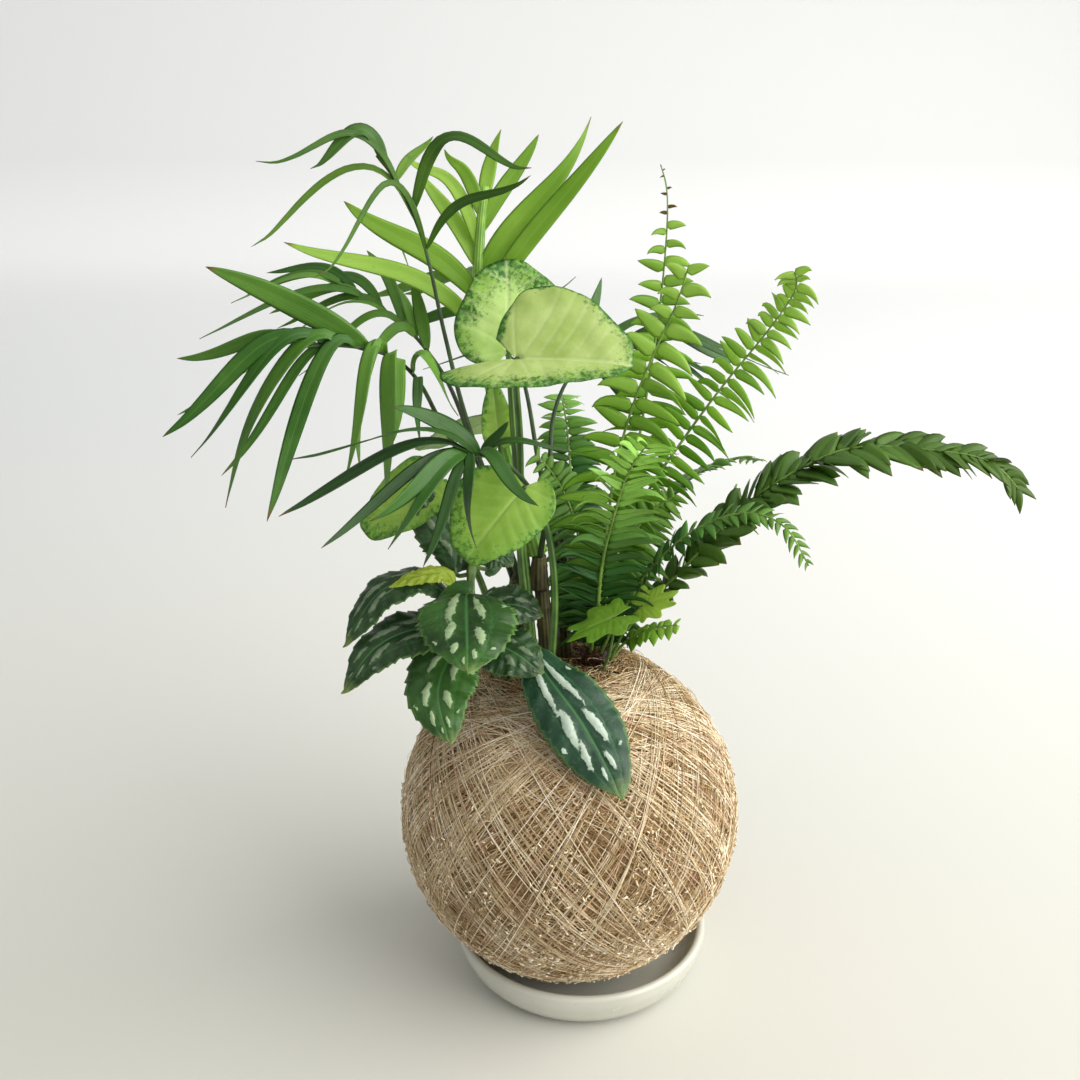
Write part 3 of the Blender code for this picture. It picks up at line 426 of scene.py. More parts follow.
# %% Tubes and blades
def tubes_along(centre, heading, facing, radius, sides):
    """Round stalks: points at centre + radius (across cos a + up sin a), for arrays of curves.
    centre and heading are (tubes, sections, 3), radius is (tubes, sections)."""
    side, up = frames(heading, facing)
    turn = 2.0 * pi * np.arange(sides) / sides
    ring = side[:, :, None] * np.cos(turn)[:, None] + up[:, :, None] * np.sin(turn)[:, None]
    return centre[:, :, None] + ring * np.broadcast_to(radius, centre.shape[:2])[:, :, None, None]


def stalk(route, radius, sides=10, sections=30, facing=(0.0, -1.0, 0.0), start=0.0, end=1.0):
    """One round stalk along a route; radius is a number or a function of the share of length."""
    shares = np.linspace(start, end, sections)
    wide = radius(shares) if callable(radius) else np.full(sections, radius)
    return tubes_along(route.at(shares)[None], route.heading(shares)[None], facing, wide[None], sides)


def blades(centre, heading, facing, left, right, slices=5, thick=0.3 * MM, fold=0.0, curl=0.0,
           roll=0.0, relief=0.0):
    """Thin closed leaves. A section's point at v, from -1 to 1 across, lies v times the half width
    to the side, and fold |v| - curl v^2 half widths plus relief above the curve; the upper and the
    under side are apart by thick times the root of 1 - v^2, so they meet in a fine edge."""
    v = np.linspace(-1.0, 1.0, slices)
    side, up = frames(heading, facing)
    roll = np.broadcast_to(roll, centre.shape[:2])[..., None]
    side, up = side * np.cos(roll) + up * np.sin(roll), up * np.cos(roll) - side * np.sin(roll)
    half = np.where(v < 0.0, left[..., None], right[..., None])
    high = half * (fold * np.abs(v) - curl * v ** 2) + relief
    gap = 0.5 * thick * np.sqrt(np.clip(1.0 - v ** 2, 0.0, None))
    spot = centre[:, :, None] + side[:, :, None] * (half * v)[..., None]
    top = spot + up[:, :, None] * (high + gap)[..., None]
    under = spot + up[:, :, None] * (high - gap)[..., None]
    rings = np.concatenate([top, under[:, :, -2:0:-1]], 2)
    return rings, np.concatenate([v, v[-2:0:-1]])


def on_top(field, slices):
    """Lays a field over the upper side of a blade and leaves the under side at nothing."""
    return np.concatenate([field, np.zeros(field.shape[:-1] + (slices - 2,))], -1)


print("a test ripple:", round(float(ripple(np.zeros((1, 3)), 5 * MM, "test")[0]), 3))

# %% [markdown]
# ## The saucer
# A small glazed dish. Its CAD solid has 48 flat sides, which would show in the lip, so the same
# profile is turned again with a smooth outline: rounded foot, leaning wall, full round lip and a soft
# cove inside. A turned profile is the natural way to make anything thrown on a wheel. The glaze is
# warm white, with faint clouds and throwing rings.

# %% Turned shapes
def turned_piece(name, profile, sides, nodes, finish, place=None, relief=None):
    """Turns a profile of (radius, height) about Z: each point runs once round at its own radius. It
    starts and ends on the axis, where one point closes it. relief moves points outward."""
    profile = np.array(profile, float)
    turn = 2.0 * pi * np.arange(sides) / sides
    inner = profile[1:-1]
    ring = np.stack([np.cos(turn), np.sin(turn), np.zeros(sides)], -1)
    points = inner[:, None, :1] * ring + inner[:, None, 1:] * np.array((0.0, 0.0, 1.0))
    if relief is not None:
        points = relief(points)
    rows = len(inner)
    number = np.arange(rows * sides).reshape(rows, sides)
    after = np.roll(number, -1, 1)
    walls = np.stack([number[:-1], after[:-1], after[1:], number[1:]], -1).reshape(-1, 4)
    poles = np.array([[0.0, 0.0, profile[0, 1]], [0.0, 0.0, profile[-1, 1]]])
    start, stop = rows * sides, rows * sides + 1
    fans = [(start, b, a) for a, b in zip(number[0], after[0])]
    fans += [(stop, a, b) for a, b in zip(number[-1], after[-1])]
    everything = np.vstack([points.reshape(-1, 3), poles])
    if place is not None:
        everything = place(everything)
    mesh = bpy.data.meshes.new(name)
    mesh.from_pydata(everything.tolist(), [], walls.tolist() + fans)
    mesh.shade_smooth()
    mesh.materials.append(finish)
    thing = bpy.data.objects.new(name, mesh)
    bpy.context.collection.objects.link(thing)
    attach(thing, "root")
    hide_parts(*nodes)
    print(f"{name}: {len(walls) * 2 + len(fans)} triangles")
    return thing


def rounded(points, steps=6, cut=0.35):
    """Rounds the inner corners of a profile: each corner is replaced by a short curve whose point at t
    is (1-t)^2 a + 2t(1-t) corner + t^2 b, with a and b a share of the way along the two sides."""
    points = [np.array(p, float) for p in points]
    t = np.linspace(0.0, 1.0, steps)[:, None]
    made = [points[0][None]]
    for before, corner, after in zip(points, points[1:], points[2:]):
        a = corner + (before - corner) * cut
        b = corner + (after - corner) * cut
        made.append((1 - t) ** 2 * a + 2 * t * (1 - t) * corner + t ** 2 * b)
    return np.vstack(made + [points[-1][None]])


# %% Saucer
SAUCER_RADIUS = 54.0
SAUCER_HEIGHT = 20.0
SAUCER_LIP = 1.8
SAUCER_FLOOR = 6.0

glaze = Recipe("glazed_white")
spot = glaze.place()
cloud = glaze.noise(28.0, 4.0, vector=spot)
rings_bump = glaze.noise(240.0, 2.0, vector=glaze.node(
    "Mapping", {"Vector": spot, "Scale": (0.06, 0.06, 1.0)}).outputs[0])
glaze.bump(glaze.maths("ADD", glaze.maths("MULTIPLY", cloud, 0.6), rings_bump), 0.00025, 0.35)
speck = glaze.span(glaze.noise(900.0, 1.0, vector=spot), 0.73, 0.78)
body_colour = glaze.blend(glaze.span(cloud, 0.35, 0.7), tone("c5c4b9"), tone("b7b8ab"))
glaze.finish(glaze.blend(glaze.maths("MULTIPLY", speck, 0.35), body_colour, tone("a39a84")),
             glaze.span(cloud, 0.3, 0.7, 0.16, 0.3), Coat_Weight=0.3, Coat_Roughness=0.08)

edge, rise = SAUCER_RADIUS - SAUCER_LIP, SAUCER_HEIGHT - SAUCER_LIP
lip = [(edge + SAUCER_LIP * cos(a), rise + SAUCER_LIP * sin(a)) for a in np.linspace(0.0, pi, 13)]
outside = rounded([(1.0, 0.35), (36.0, 0.35), (38.0, 0.0), (41.5, 0.0), (46.5, 2.0), (50.6, 7.0),
                   (53.2, 13.0), lip[0]])
inside = rounded([lip[-1], (49.4, 11.0), (46.4, 7.0), (42.4, 6.0), (1.0, 6.0)], cut=0.45)
profile = np.vstack([[(0.0, 0.35)], outside, lip[1:-1], inside, [(0.0, 6.0)]]) * MM
turned_piece("glazed_saucer", profile, 160, ["saucer"], glaze.material)

# %% [markdown]
# ## The ball
# Under the thread there is soil, held by a jacket of coir fibre. The thread is wound so that every
# turn is nearly a great circle that just misses the mouth. The threads fan out from the mouth, run
# steeply round the sides and cross in diamonds on the belly. Drawing threads as a pattern on a sphere
# looks printed, so each one is a real thin tube. A thread is one closed loop: a circle on the sphere,
# a little off centre, that dips and rises as it crosses the others. Short loose fibres and pale chips
# of coir lie on top and break up the outline.

# %% Where the ball is
BALL_RADIUS = 70.0 * MM
BALL_CENTRE = np.array((-5.4, 0.0, 75.1)) * MM
BALL_AXIS = unit((-0.09, 0.13, 1.0))
MOUTH_RADIUS = 29.0 * MM
SOIL_LEVEL = sqrt(BALL_RADIUS ** 2 - MOUTH_RADIUS ** 2) - 3.0 * MM
BALL_REST = (SAUCER_FLOOR + 0.35) * MM

lean_x = unit(np.cross((0.0, 1.0, 0.0), BALL_AXIS))
LEAN = np.stack([lean_x, np.cross(BALL_AXIS, lean_x), BALL_AXIS])


def on_ball(points):
    """Turns points from the ball's own upright frame to its leaning place, resting on the saucer."""
    placed = points @ LEAN + BALL_CENTRE
    placed[..., 2] = np.maximum(placed[..., 2], BALL_REST)
    return placed


def soil_height(x, y):
    """Height of the leaning planting surface at (x, y)."""
    heart = BALL_CENTRE + BALL_AXIS * SOIL_LEVEL
    slope = BALL_AXIS[0] * (x - heart[0]) + BALL_AXIS[1] * (y - heart[1])
    return heart[2] - slope / BALL_AXIS[2]


ROOT_DEPTH = 1.0 * MM


def rooted(points):
    """The points of a stalk, given in millimetres, with the first one moved just under the soil."""
    points = millimetres(points)
    points[0, 2] = soil_height(*points[0, :2]) - ROOT_DEPTH
    return points


top_of_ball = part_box("twine_wrap")[1].z
print("planting surface at", round(soil_height(0.0, 0.0) / MM, 1), "mm, CAD twine ends at",
      round(top_of_ball / MM, 1), "mm")

# %% Finishes of the ball
def fibre_finish(name, dark, middle, light, red, roughness=0.85):
    """Plant fibre: each strand has a shade of its own by chance, with darker dirty stretches."""
    made = Recipe(name)
    _, _, chance = made.growth()
    patch = made.noise(75.0, 4.0)
    fine = made.noise(1100.0, 3.0)
    shade = made.maths("ADD", made.maths("MULTIPLY", chance, 0.6), made.maths("MULTIPLY", patch, 0.5))
    colour = made.ramp(shade, (0.2, tone(dark)), (0.5, tone(middle)), (0.85, tone(light)))
    colour = made.blend(made.span(chance, 0.93, 0.95, 0.0, 0.7), colour, tone(red))
    colour = made.blend(made.span(fine, 0.35, 0.6, 0.35, 0.0), colour, tone(dark))
    made.bump(fine, 0.0001, 0.5)
    return made.finish(colour, roughness, Sheen_Weight=0.08, Sheen_Roughness=0.5)


thread = fibre_finish("twine", "8f6c3e", "dfc99e", "fef5e0", "cf9270")
# Painted shade: the inner turns, which lie under the others, wear a darker copy of the twine.
shaded_under_thread = fibre_finish("twine_under_painted_shade", "7f6032", "c2a272", "e8d2aa", "b87a52")
coir = fibre_finish("coir", "6a4c28", "b3925c", "f0dcb2", "9a5a34", 0.95)
fleck = fibre_finish("coir_fleck", "b49870", "ecdab4", "fff6e0", "dcb890", 0.95)

# Partly painted shade: the jacket has coir's own brown, kept dark so that it also stands for the shade
# between the threads.
jacket = Recipe("coir_jacket")
tangle = jacket.noise(420.0, 6.0, 0.7, distortion=1.5)
lumps = jacket.noise(70.0, 3.0)
jacket.bump(tangle, 0.0006, 1.0)
jacket.finish(jacket.blend(lumps, jacket.ramp(tangle, (0.32, tone("46331a")), (0.5, tone("836742")),
                                              (0.68, tone("c4a97c"))),
                           jacket.ramp(tangle, (0.3, tone("4c3820")), (0.55, tone("9a7e56")),
                                       (0.75, tone("d2b98e")))), 0.95)

soil = Recipe("soil")
crumb = soil.noise(500.0, 5.0, 0.65)
soil.bump(crumb, 0.0012, 1.0)
soil.finish(soil.ramp(crumb, (0.3, tone("0d0805")), (0.55, tone("2c1d12")), (0.78, tone("5c4630"))), 0.95)
print("ball finishes:", thread.name, shaded_under_thread.name, coir.name, fleck.name)

# %% Fibre jacket and soil
def lumpy(size, height, word):
    """Moves points in or out along their own direction from the middle by smooth lumps."""
    def move(points):
        return points * (1.0 + height * ripple(points, size, word)[..., None]
                         / np.linalg.norm(points, axis=-1, keepdims=True))
    return move


def ball_profile(radius, neck, steps):
    """Points down a sphere from its mouth to its lower pole: radius sin a and radius cos a."""
    first = np.arcsin(neck / radius)
    turns = np.linspace(first, pi - 0.01, steps)
    return np.stack([radius * np.sin(turns), radius * np.cos(turns)], -1)


skin = ball_profile(68.2 * MM, 27.5 * MM, 80)
lining = ball_profile(66.0 * MM, 28.6 * MM, 5)[:1]
profile = np.vstack([[(0.0, 50.0 * MM)], [(27.0 * MM, 50.0 * MM)], lining, skin, [(0.0, -68.4 * MM)]])
turned_piece("coir_jacket", profile, 160, ["fibre_jacket"], jacket.material, on_ball,
             lumpy(5.0 * MM, 0.5 * MM, "jacket"))


def crumbly(points):
    """Crumbles: smooth lumps in two sizes, straight up, on the upper face only."""
    lift = 1.1 * MM * ripple(points, 7.0 * MM, "clods") + 0.5 * MM * ripple(points, 2.2 * MM, "crumbs")
    upper = points[..., 2] > SOIL_LEVEL - 0.5 * MM
    return points + np.where(upper, lift, 0.0)[..., None] * np.array((0.0, 0.0, 1.0))


rounds = np.linspace(0.6, 27.6, 40)[:, None]
upper = np.hstack([rounds * MM, np.full((40, 1), SOIL_LEVEL)])
core = ball_profile(64.0 * MM, 27.5 * MM, 24)
profile = np.vstack([[(0.0, SOIL_LEVEL)], upper, core, [(0.0, -64.0 * MM)]])
turned_piece("soil_ball", profile, 120, ["soil_core"], soil.material, on_ball, crumbly)

# %% Wound thread
THREAD_SECTIONS = 72
STEEPEST_TURN = radians(65.5)
OFF_CENTRE = 1.3 * MM
WANDER = 0.13 * MM
SWAY = 0.35 * MM


def wind(word, bundles, threads, tilts, radii, thickness, spread):
    """Loops of thread round the ball. The plane of a loop has the normal (sin t cos p, sin t sin p,
    cos t) and lies d off the centre; its point at angle a is normal d + root(r^2 - d^2) times
    (cos a e + sin a f), where e and f span the plane. Threads come in bundles of near neighbours."""
    throw = dice(word)
    tilt = np.repeat(throw.uniform(*tilts, bundles), threads)
    spin = np.repeat(throw.uniform(0.0, 2.0 * pi, bundles), threads)
    count = bundles * threads
    tilt = np.minimum(tilt + throw.normal(0.0, spread, count), STEEPEST_TURN)
    spin = spin + throw.normal(0.0, spread, count)
    off = np.clip(throw.normal(0.0, OFF_CENTRE, count), -2.5 * MM, 2.5 * MM)
    normal = np.stack([np.sin(tilt) * np.cos(spin), np.sin(tilt) * np.sin(spin), np.cos(tilt)], -1)
    e = unit(np.cross(normal, (0.0, 0.0, 1.0)))
    f = np.cross(normal, e)
    a = np.linspace(0.0, 2.0 * pi, THREAD_SECTIONS, endpoint=False)[None]
    a = a + throw.uniform(0, 0.1, (count, 1))
    level = throw.uniform(*radii, (count, 1)) * MM
    for waves in (3, 7, 16):
        level = level + WANDER * np.sin(waves * a + throw.uniform(0.0, 2.0 * pi, (count, 1)))
    flat = np.sqrt(level ** 2 - off[:, None] ** 2)[..., None]
    way = np.cos(a)[..., None] * e[:, None] + np.sin(a)[..., None] * f[:, None]
    centre = normal[:, None] * off[:, None, None] + flat * way
    sway = SWAY * np.sin(5 * a + throw.uniform(0.0, 2.0 * pi, (count, 1)))
    centre = centre + normal[:, None] * sway[..., None]
    heading = unit(np.roll(centre, -1, 1) - np.roll(centre, 1, 1))
    radius = thickness * MM * throw.uniform(0.8, 1.2, (count, 1)) * np.ones_like(a)
    rings = tubes_along(centre, heading, unit(centre), radius, 3)
    return on_ball(rings), throw.uniform(0.0, 1.0, count)


# The inner turns use the darker twine, which is painted shade.
for name, word, bundles, threads, tilts, radii, thickness, spread, finish in (
        ("twine_inner_turns", "inner", 62, 4, (24, 64), (68.5, 69.0), 0.24, 0.08, shaded_under_thread),
        ("twine_middle_turns", "middle", 58, 4, (38, 66), (68.9, 69.5), 0.215, 0.06, thread),
        ("twine_outer_turns", "outer", 46, 4, (52, 66), (69.5, 70.0), 0.2, 0.045, thread)):
    turns = Body()
    rings, chance = wind(word, bundles, threads, np.radians(tilts), radii, thickness, spread)
    turns.add(rings, chance=chance, looped=True)
    turns.piece(name, ["twine_wrap"], [finish])

# %% Loose fibre on the ball
def fibres(word, count, spots, outward, length, lift, curl, thickness, sections=7):
    """Short curled fibres: each starts at its spot on the ball and runs l(cos b, sin b) over the
    surface, with b turning as it goes, while it rises and falls as lift sin(pi u)."""
    throw = dice(word + "curl")
    e = unit(np.cross(outward, throw.normal(size=(count, 3))))
    f = np.cross(outward, e)
    u = np.linspace(0.0, 1.0, sections)[None]
    size = throw.uniform(*length, (count, 1)) * MM
    bend = throw.normal(0.0, curl, (count, 1)) * u + 0.5 * np.sin(
        3.0 * pi * u + throw.uniform(0.0, 2.0 * pi, (count, 1)))
    step = size / (sections - 1)
    x = np.cumsum(np.cos(bend) * step, 1) - 0.5 * size
    y = np.cumsum(np.sin(bend) * step, 1)
    high = throw.uniform(*lift, (count, 1)) * MM * np.sin(pi * u * throw.uniform(0.5, 1.0, (count, 1)))
    centre = spots[:, None] + x[..., None] * e[:, None] + y[..., None] * f[:, None]
    centre = centre + high[..., None] * outward[:, None]
    heading = unit(np.gradient(centre, axis=1))
    radius = throw.uniform(*thickness, (count, 1)) * MM * (1.0 - 0.5 * u)
    return tubes_along(centre, heading, outward[:, None] + 1e-3, radius, 3), throw.uniform(0, 1, count)


def spread_over_ball(word, count, radius, mouth=27.0):
    """Even chance directions over the sphere, apart from the mouth."""
    throw = dice(word)
    ways = unit(throw.normal(size=(3 * count, 3)))
    ways = ways[ways[:, 2] < cos(radians(mouth))][:count]
    return ways * throw.uniform(*radius, (count, 1)) * MM, ways


FIBRES = 2600
fuzz = Body()
spots, ways = spread_over_ball("fuzz", FIBRES, (69.0, 69.9))
rings, chance = fibres("fuzz", FIBRES, spots, ways, (3.0, 10.0), (0.1, 1.3), 1.8, (0.08, 0.14))
fuzz.add(on_ball(rings), chance=chance)

# pale chips gather in clumps, mostly low on the ball: half of an even spread is kept
spots, ways = spread_over_ball("chips", 2 * FIBRES, (69.9, 70.6), 60.0)
stray = dice("stray").normal(size=2 * FIBRES)
clumps = ripple(spots, 20.0 * MM, "clumps") + 0.5 * stray - 0.7 * ways[:, 2]
chosen = np.argsort(clumps)[-FIBRES:]
spots, ways = spots[chosen], ways[chosen]
rings, chance = fibres("chips", FIBRES, spots, ways, (0.8, 2.4), (0.0, 0.6), 0.9, (0.2, 0.55), 4)
fuzz.add(on_ball(rings), chance=0.9 * chance, finish=1)
fuzz.piece("loose_ball_fibre", ["twine_wrap"], [coir, fleck])

COLLAR_FIBRES = 520
LITTER = 260
COLLAR_MIDDLE = 26.5 * MM
collar = Body()
throw = dice("collar")
turn = throw.uniform(0.0, 2.0 * pi, COLLAR_FIBRES)
reach = throw.uniform(23.0, 30.0, COLLAR_FIBRES) * MM
height = SOIL_LEVEL + throw.uniform(0.5, 4.2, COLLAR_FIBRES) * MM
height = height - np.abs(reach - COLLAR_MIDDLE) * 0.25
spots = np.stack([reach * np.cos(turn), reach * np.sin(turn), height], -1)
ways = unit(np.stack([0.4 * np.cos(turn), 0.4 * np.sin(turn), np.ones(COLLAR_FIBRES)], -1))
rings, chance = fibres("collar", COLLAR_FIBRES, spots, ways, (7.0, 20.0), (0.3, 3.0), 2.6, (0.12, 0.26), 11)
collar.add(on_ball(rings), chance=chance)
spots = throw.uniform(-21.0, 21.0, (LITTER, 3)) * MM
spots[:, 2] = SOIL_LEVEL + 0.8 * MM
ways = np.tile((0.0, 0.0, 1.0), (LITTER, 1))
rings, chance = fibres("litter", LITTER, spots, ways, (3.0, 11.0), (0.2, 1.6), 1.6, (0.12, 0.3), 7)
collar.add(on_ball(rings), chance=chance * 0.6)
collar.piece("coir_tangle", ["coir_collar"], [coir])

# %% [markdown]
# ## The palm
# A parlour palm has thin ringed canes. Each feather leaf is one stalk with strap leaflets on both
# sides, narrow where they clasp the stalk, broadest near the middle and drawn out to a long point.
# The straps arch over, fold a little along the middle and twist by chance. Their veins run lengthwise,
# so the material draws them from the across number of each leaflet. Old fronds are dark and glossy;
# the tallest young one is bright, because light shines through it.

# %% Leaf finishes
def leaf_finish(name, dark, light, glow, through, veins=9.0, rough=(0.35, 0.5), dry=None, rib=0.25,
                spots=0.35, tips=None, low=(0.35, 0.65)):
    """A thin leaf: shades by chance and by noise, fine veins lengthwise, a paler middle rib, and a
    share of light let through. Its last stretch turns to the dry colour, if it has one. With tips,
    a frond turns to that colour upward, and painted shade darkens it up to low[0] of its height, by
    low[1]."""
    made = Recipe(name)
    along, across, chance = made.growth()
    cloud = made.noise(45.0, 4.0)
    grain = made.noise(380.0, 3.0)
    shade = made.maths("ADD", made.maths("MULTIPLY", cloud, 0.7), made.maths("MULTIPLY", chance, 0.75))
    colour = made.blend(made.span(shade, 0.35, 1.1), tone(dark), tone(light))
    if tips:
        colour = made.blend(made.span(made.mark(), 0.35, 0.9, 0.0, 0.88), colour, tone(tips))
        # Painted shade: up to low[0] of the frond's height, the colour darkens towards a deep green.
        colour = made.blend(made.span(made.mark(), 0.0, low[0], low[1], 0.0), colour, tone("122c0c"))
    line = made.maths("SINE", made.maths("MULTIPLY", across, veins * pi))
    colour = made.blend(made.span(line, 0.2, 1.0, 0.0, 0.13), colour, tone(light))
    middle = made.span(made.maths("ABSOLUTE", across), 0.0, 0.16, rib, 0.0)
    colour = made.blend(middle, colour, tone(light))
    colour = made.blend(made.span(grain, 0.62, 0.75, 0.0, spots), colour, tone(dark))
    if dry:
        brown = made.span(made.maths("ADD", along, made.maths("MULTIPLY", cloud, 0.12)), 1.0, 1.05)
        colour = made.blend(brown, colour, tone(dry))
        crisp = made.span(made.mark(), 1.3, 1.6)
        colour = made.blend(crisp, colour, tone(dry))
    veined = made.maths("MULTIPLY", line, 0.3)
    made.bump(made.maths("ADD", veined, made.maths("MULTIPLY", grain, 1.5)), 0.00012, 0.5)
    made.finish(colour, made.span(grain, 0.3, 0.7, *rough), Specular_IOR_Level=0.35)
    made.glow(made.blend(0.5, colour, tone(glow)), through)
    return made.material


palm_dark = leaf_finish("palm_leaf_dark", "18380f", "3e6a26", "6c9c20", 0.16, dry="6b4a2a")
palm_olive = leaf_finish("palm_leaf_olive", "325c14", "729c32", "96b828", 0.24, dry="6b4a2a")
palm_mid = leaf_finish("palm_leaf_mid", "285814", "6c9c38", "94bc30", 0.24, dry="7a5a34")
palm_bright = leaf_finish("palm_leaf_bright", "6a9a28", "a6cc58", "c2e04a", 0.42, dry="8a7a3a")


def stem_finish(name, dark, light, scale=90.0, stripes=12.0):
    """A stalk: two shades in lengthwise streaks, with fine grain."""
    made = Recipe(name)
    _, across, _ = made.growth()
    streak = made.maths("SINE", made.maths("MULTIPLY", across, stripes * pi))
    cloud = made.noise(scale, 4.0)
    shade = made.maths("ADD", cloud, made.maths("MULTIPLY", streak, 0.12))
    made.bump(made.maths("ADD", streak, cloud), 0.00015, 0.4)
    return made.finish(made.blend(made.span(shade, 0.35, 0.7), tone(dark), tone(light)),
                       made.span(cloud, 0.3, 0.7, 0.35, 0.55))


palm_stalk_dark = stem_finish("palm_stalk_dark", "1c2a14", "3c5a26")
palm_stalk_bright = stem_finish("palm_stalk_bright", "5a8a2c", "98bf52")
bark = stem_finish("cane", "2a2412", "5d5a2c", 160.0)
print("palm finishes made")

# %% Canes
PALM_CANES = {
    "palm_cane_left": ((-25, 12), (-27, 10, 176)),
    "palm_cane_middle": ((-14, 9), (-18, 8, 186)),
    "palm_cane_right": ((-7, 22), (-9, 24, 180)),
}


def round_marks(sides):
    """Across numbers 0 to 2 round a stalk, so that streaks close."""
    return np.linspace(-1.0, 1.0, sides, endpoint=False)[None, None]


def cane_radius(shares):
    """A cane's radius: 3.1 mm, a little thicker at the foot, with a raised ring every eighth."""
    ring = np.exp(-((((shares * 6.0) % 1.0) - 0.5) / 0.09) ** 2)
    return (3.1 + 0.5 * np.exp(-shares * 6.0) + 0.35 * ring - 0.2 * shares) * MM


for name, (foot, head) in PALM_CANES.items():
    ends = rooted(((*foot, 0.0), head))
    cane = Body()
    rings = stalk(Route(ends), cane_radius, 18, 60)
    cane.add(rings, across=round_marks(18))
    sheath = Route([ends[1] - (0.0, 0.0, 14.0 * MM), ends[1], ends[1] + (0.0, 0.0, 3.0 * MM)])
    cane.add(stalk(sheath, lambda s: (3.7 - 2.2 * s ** 3) * MM, 18, 20), across=round_marks(18))
    cane.piece(name + "_bark", [name], [bark])

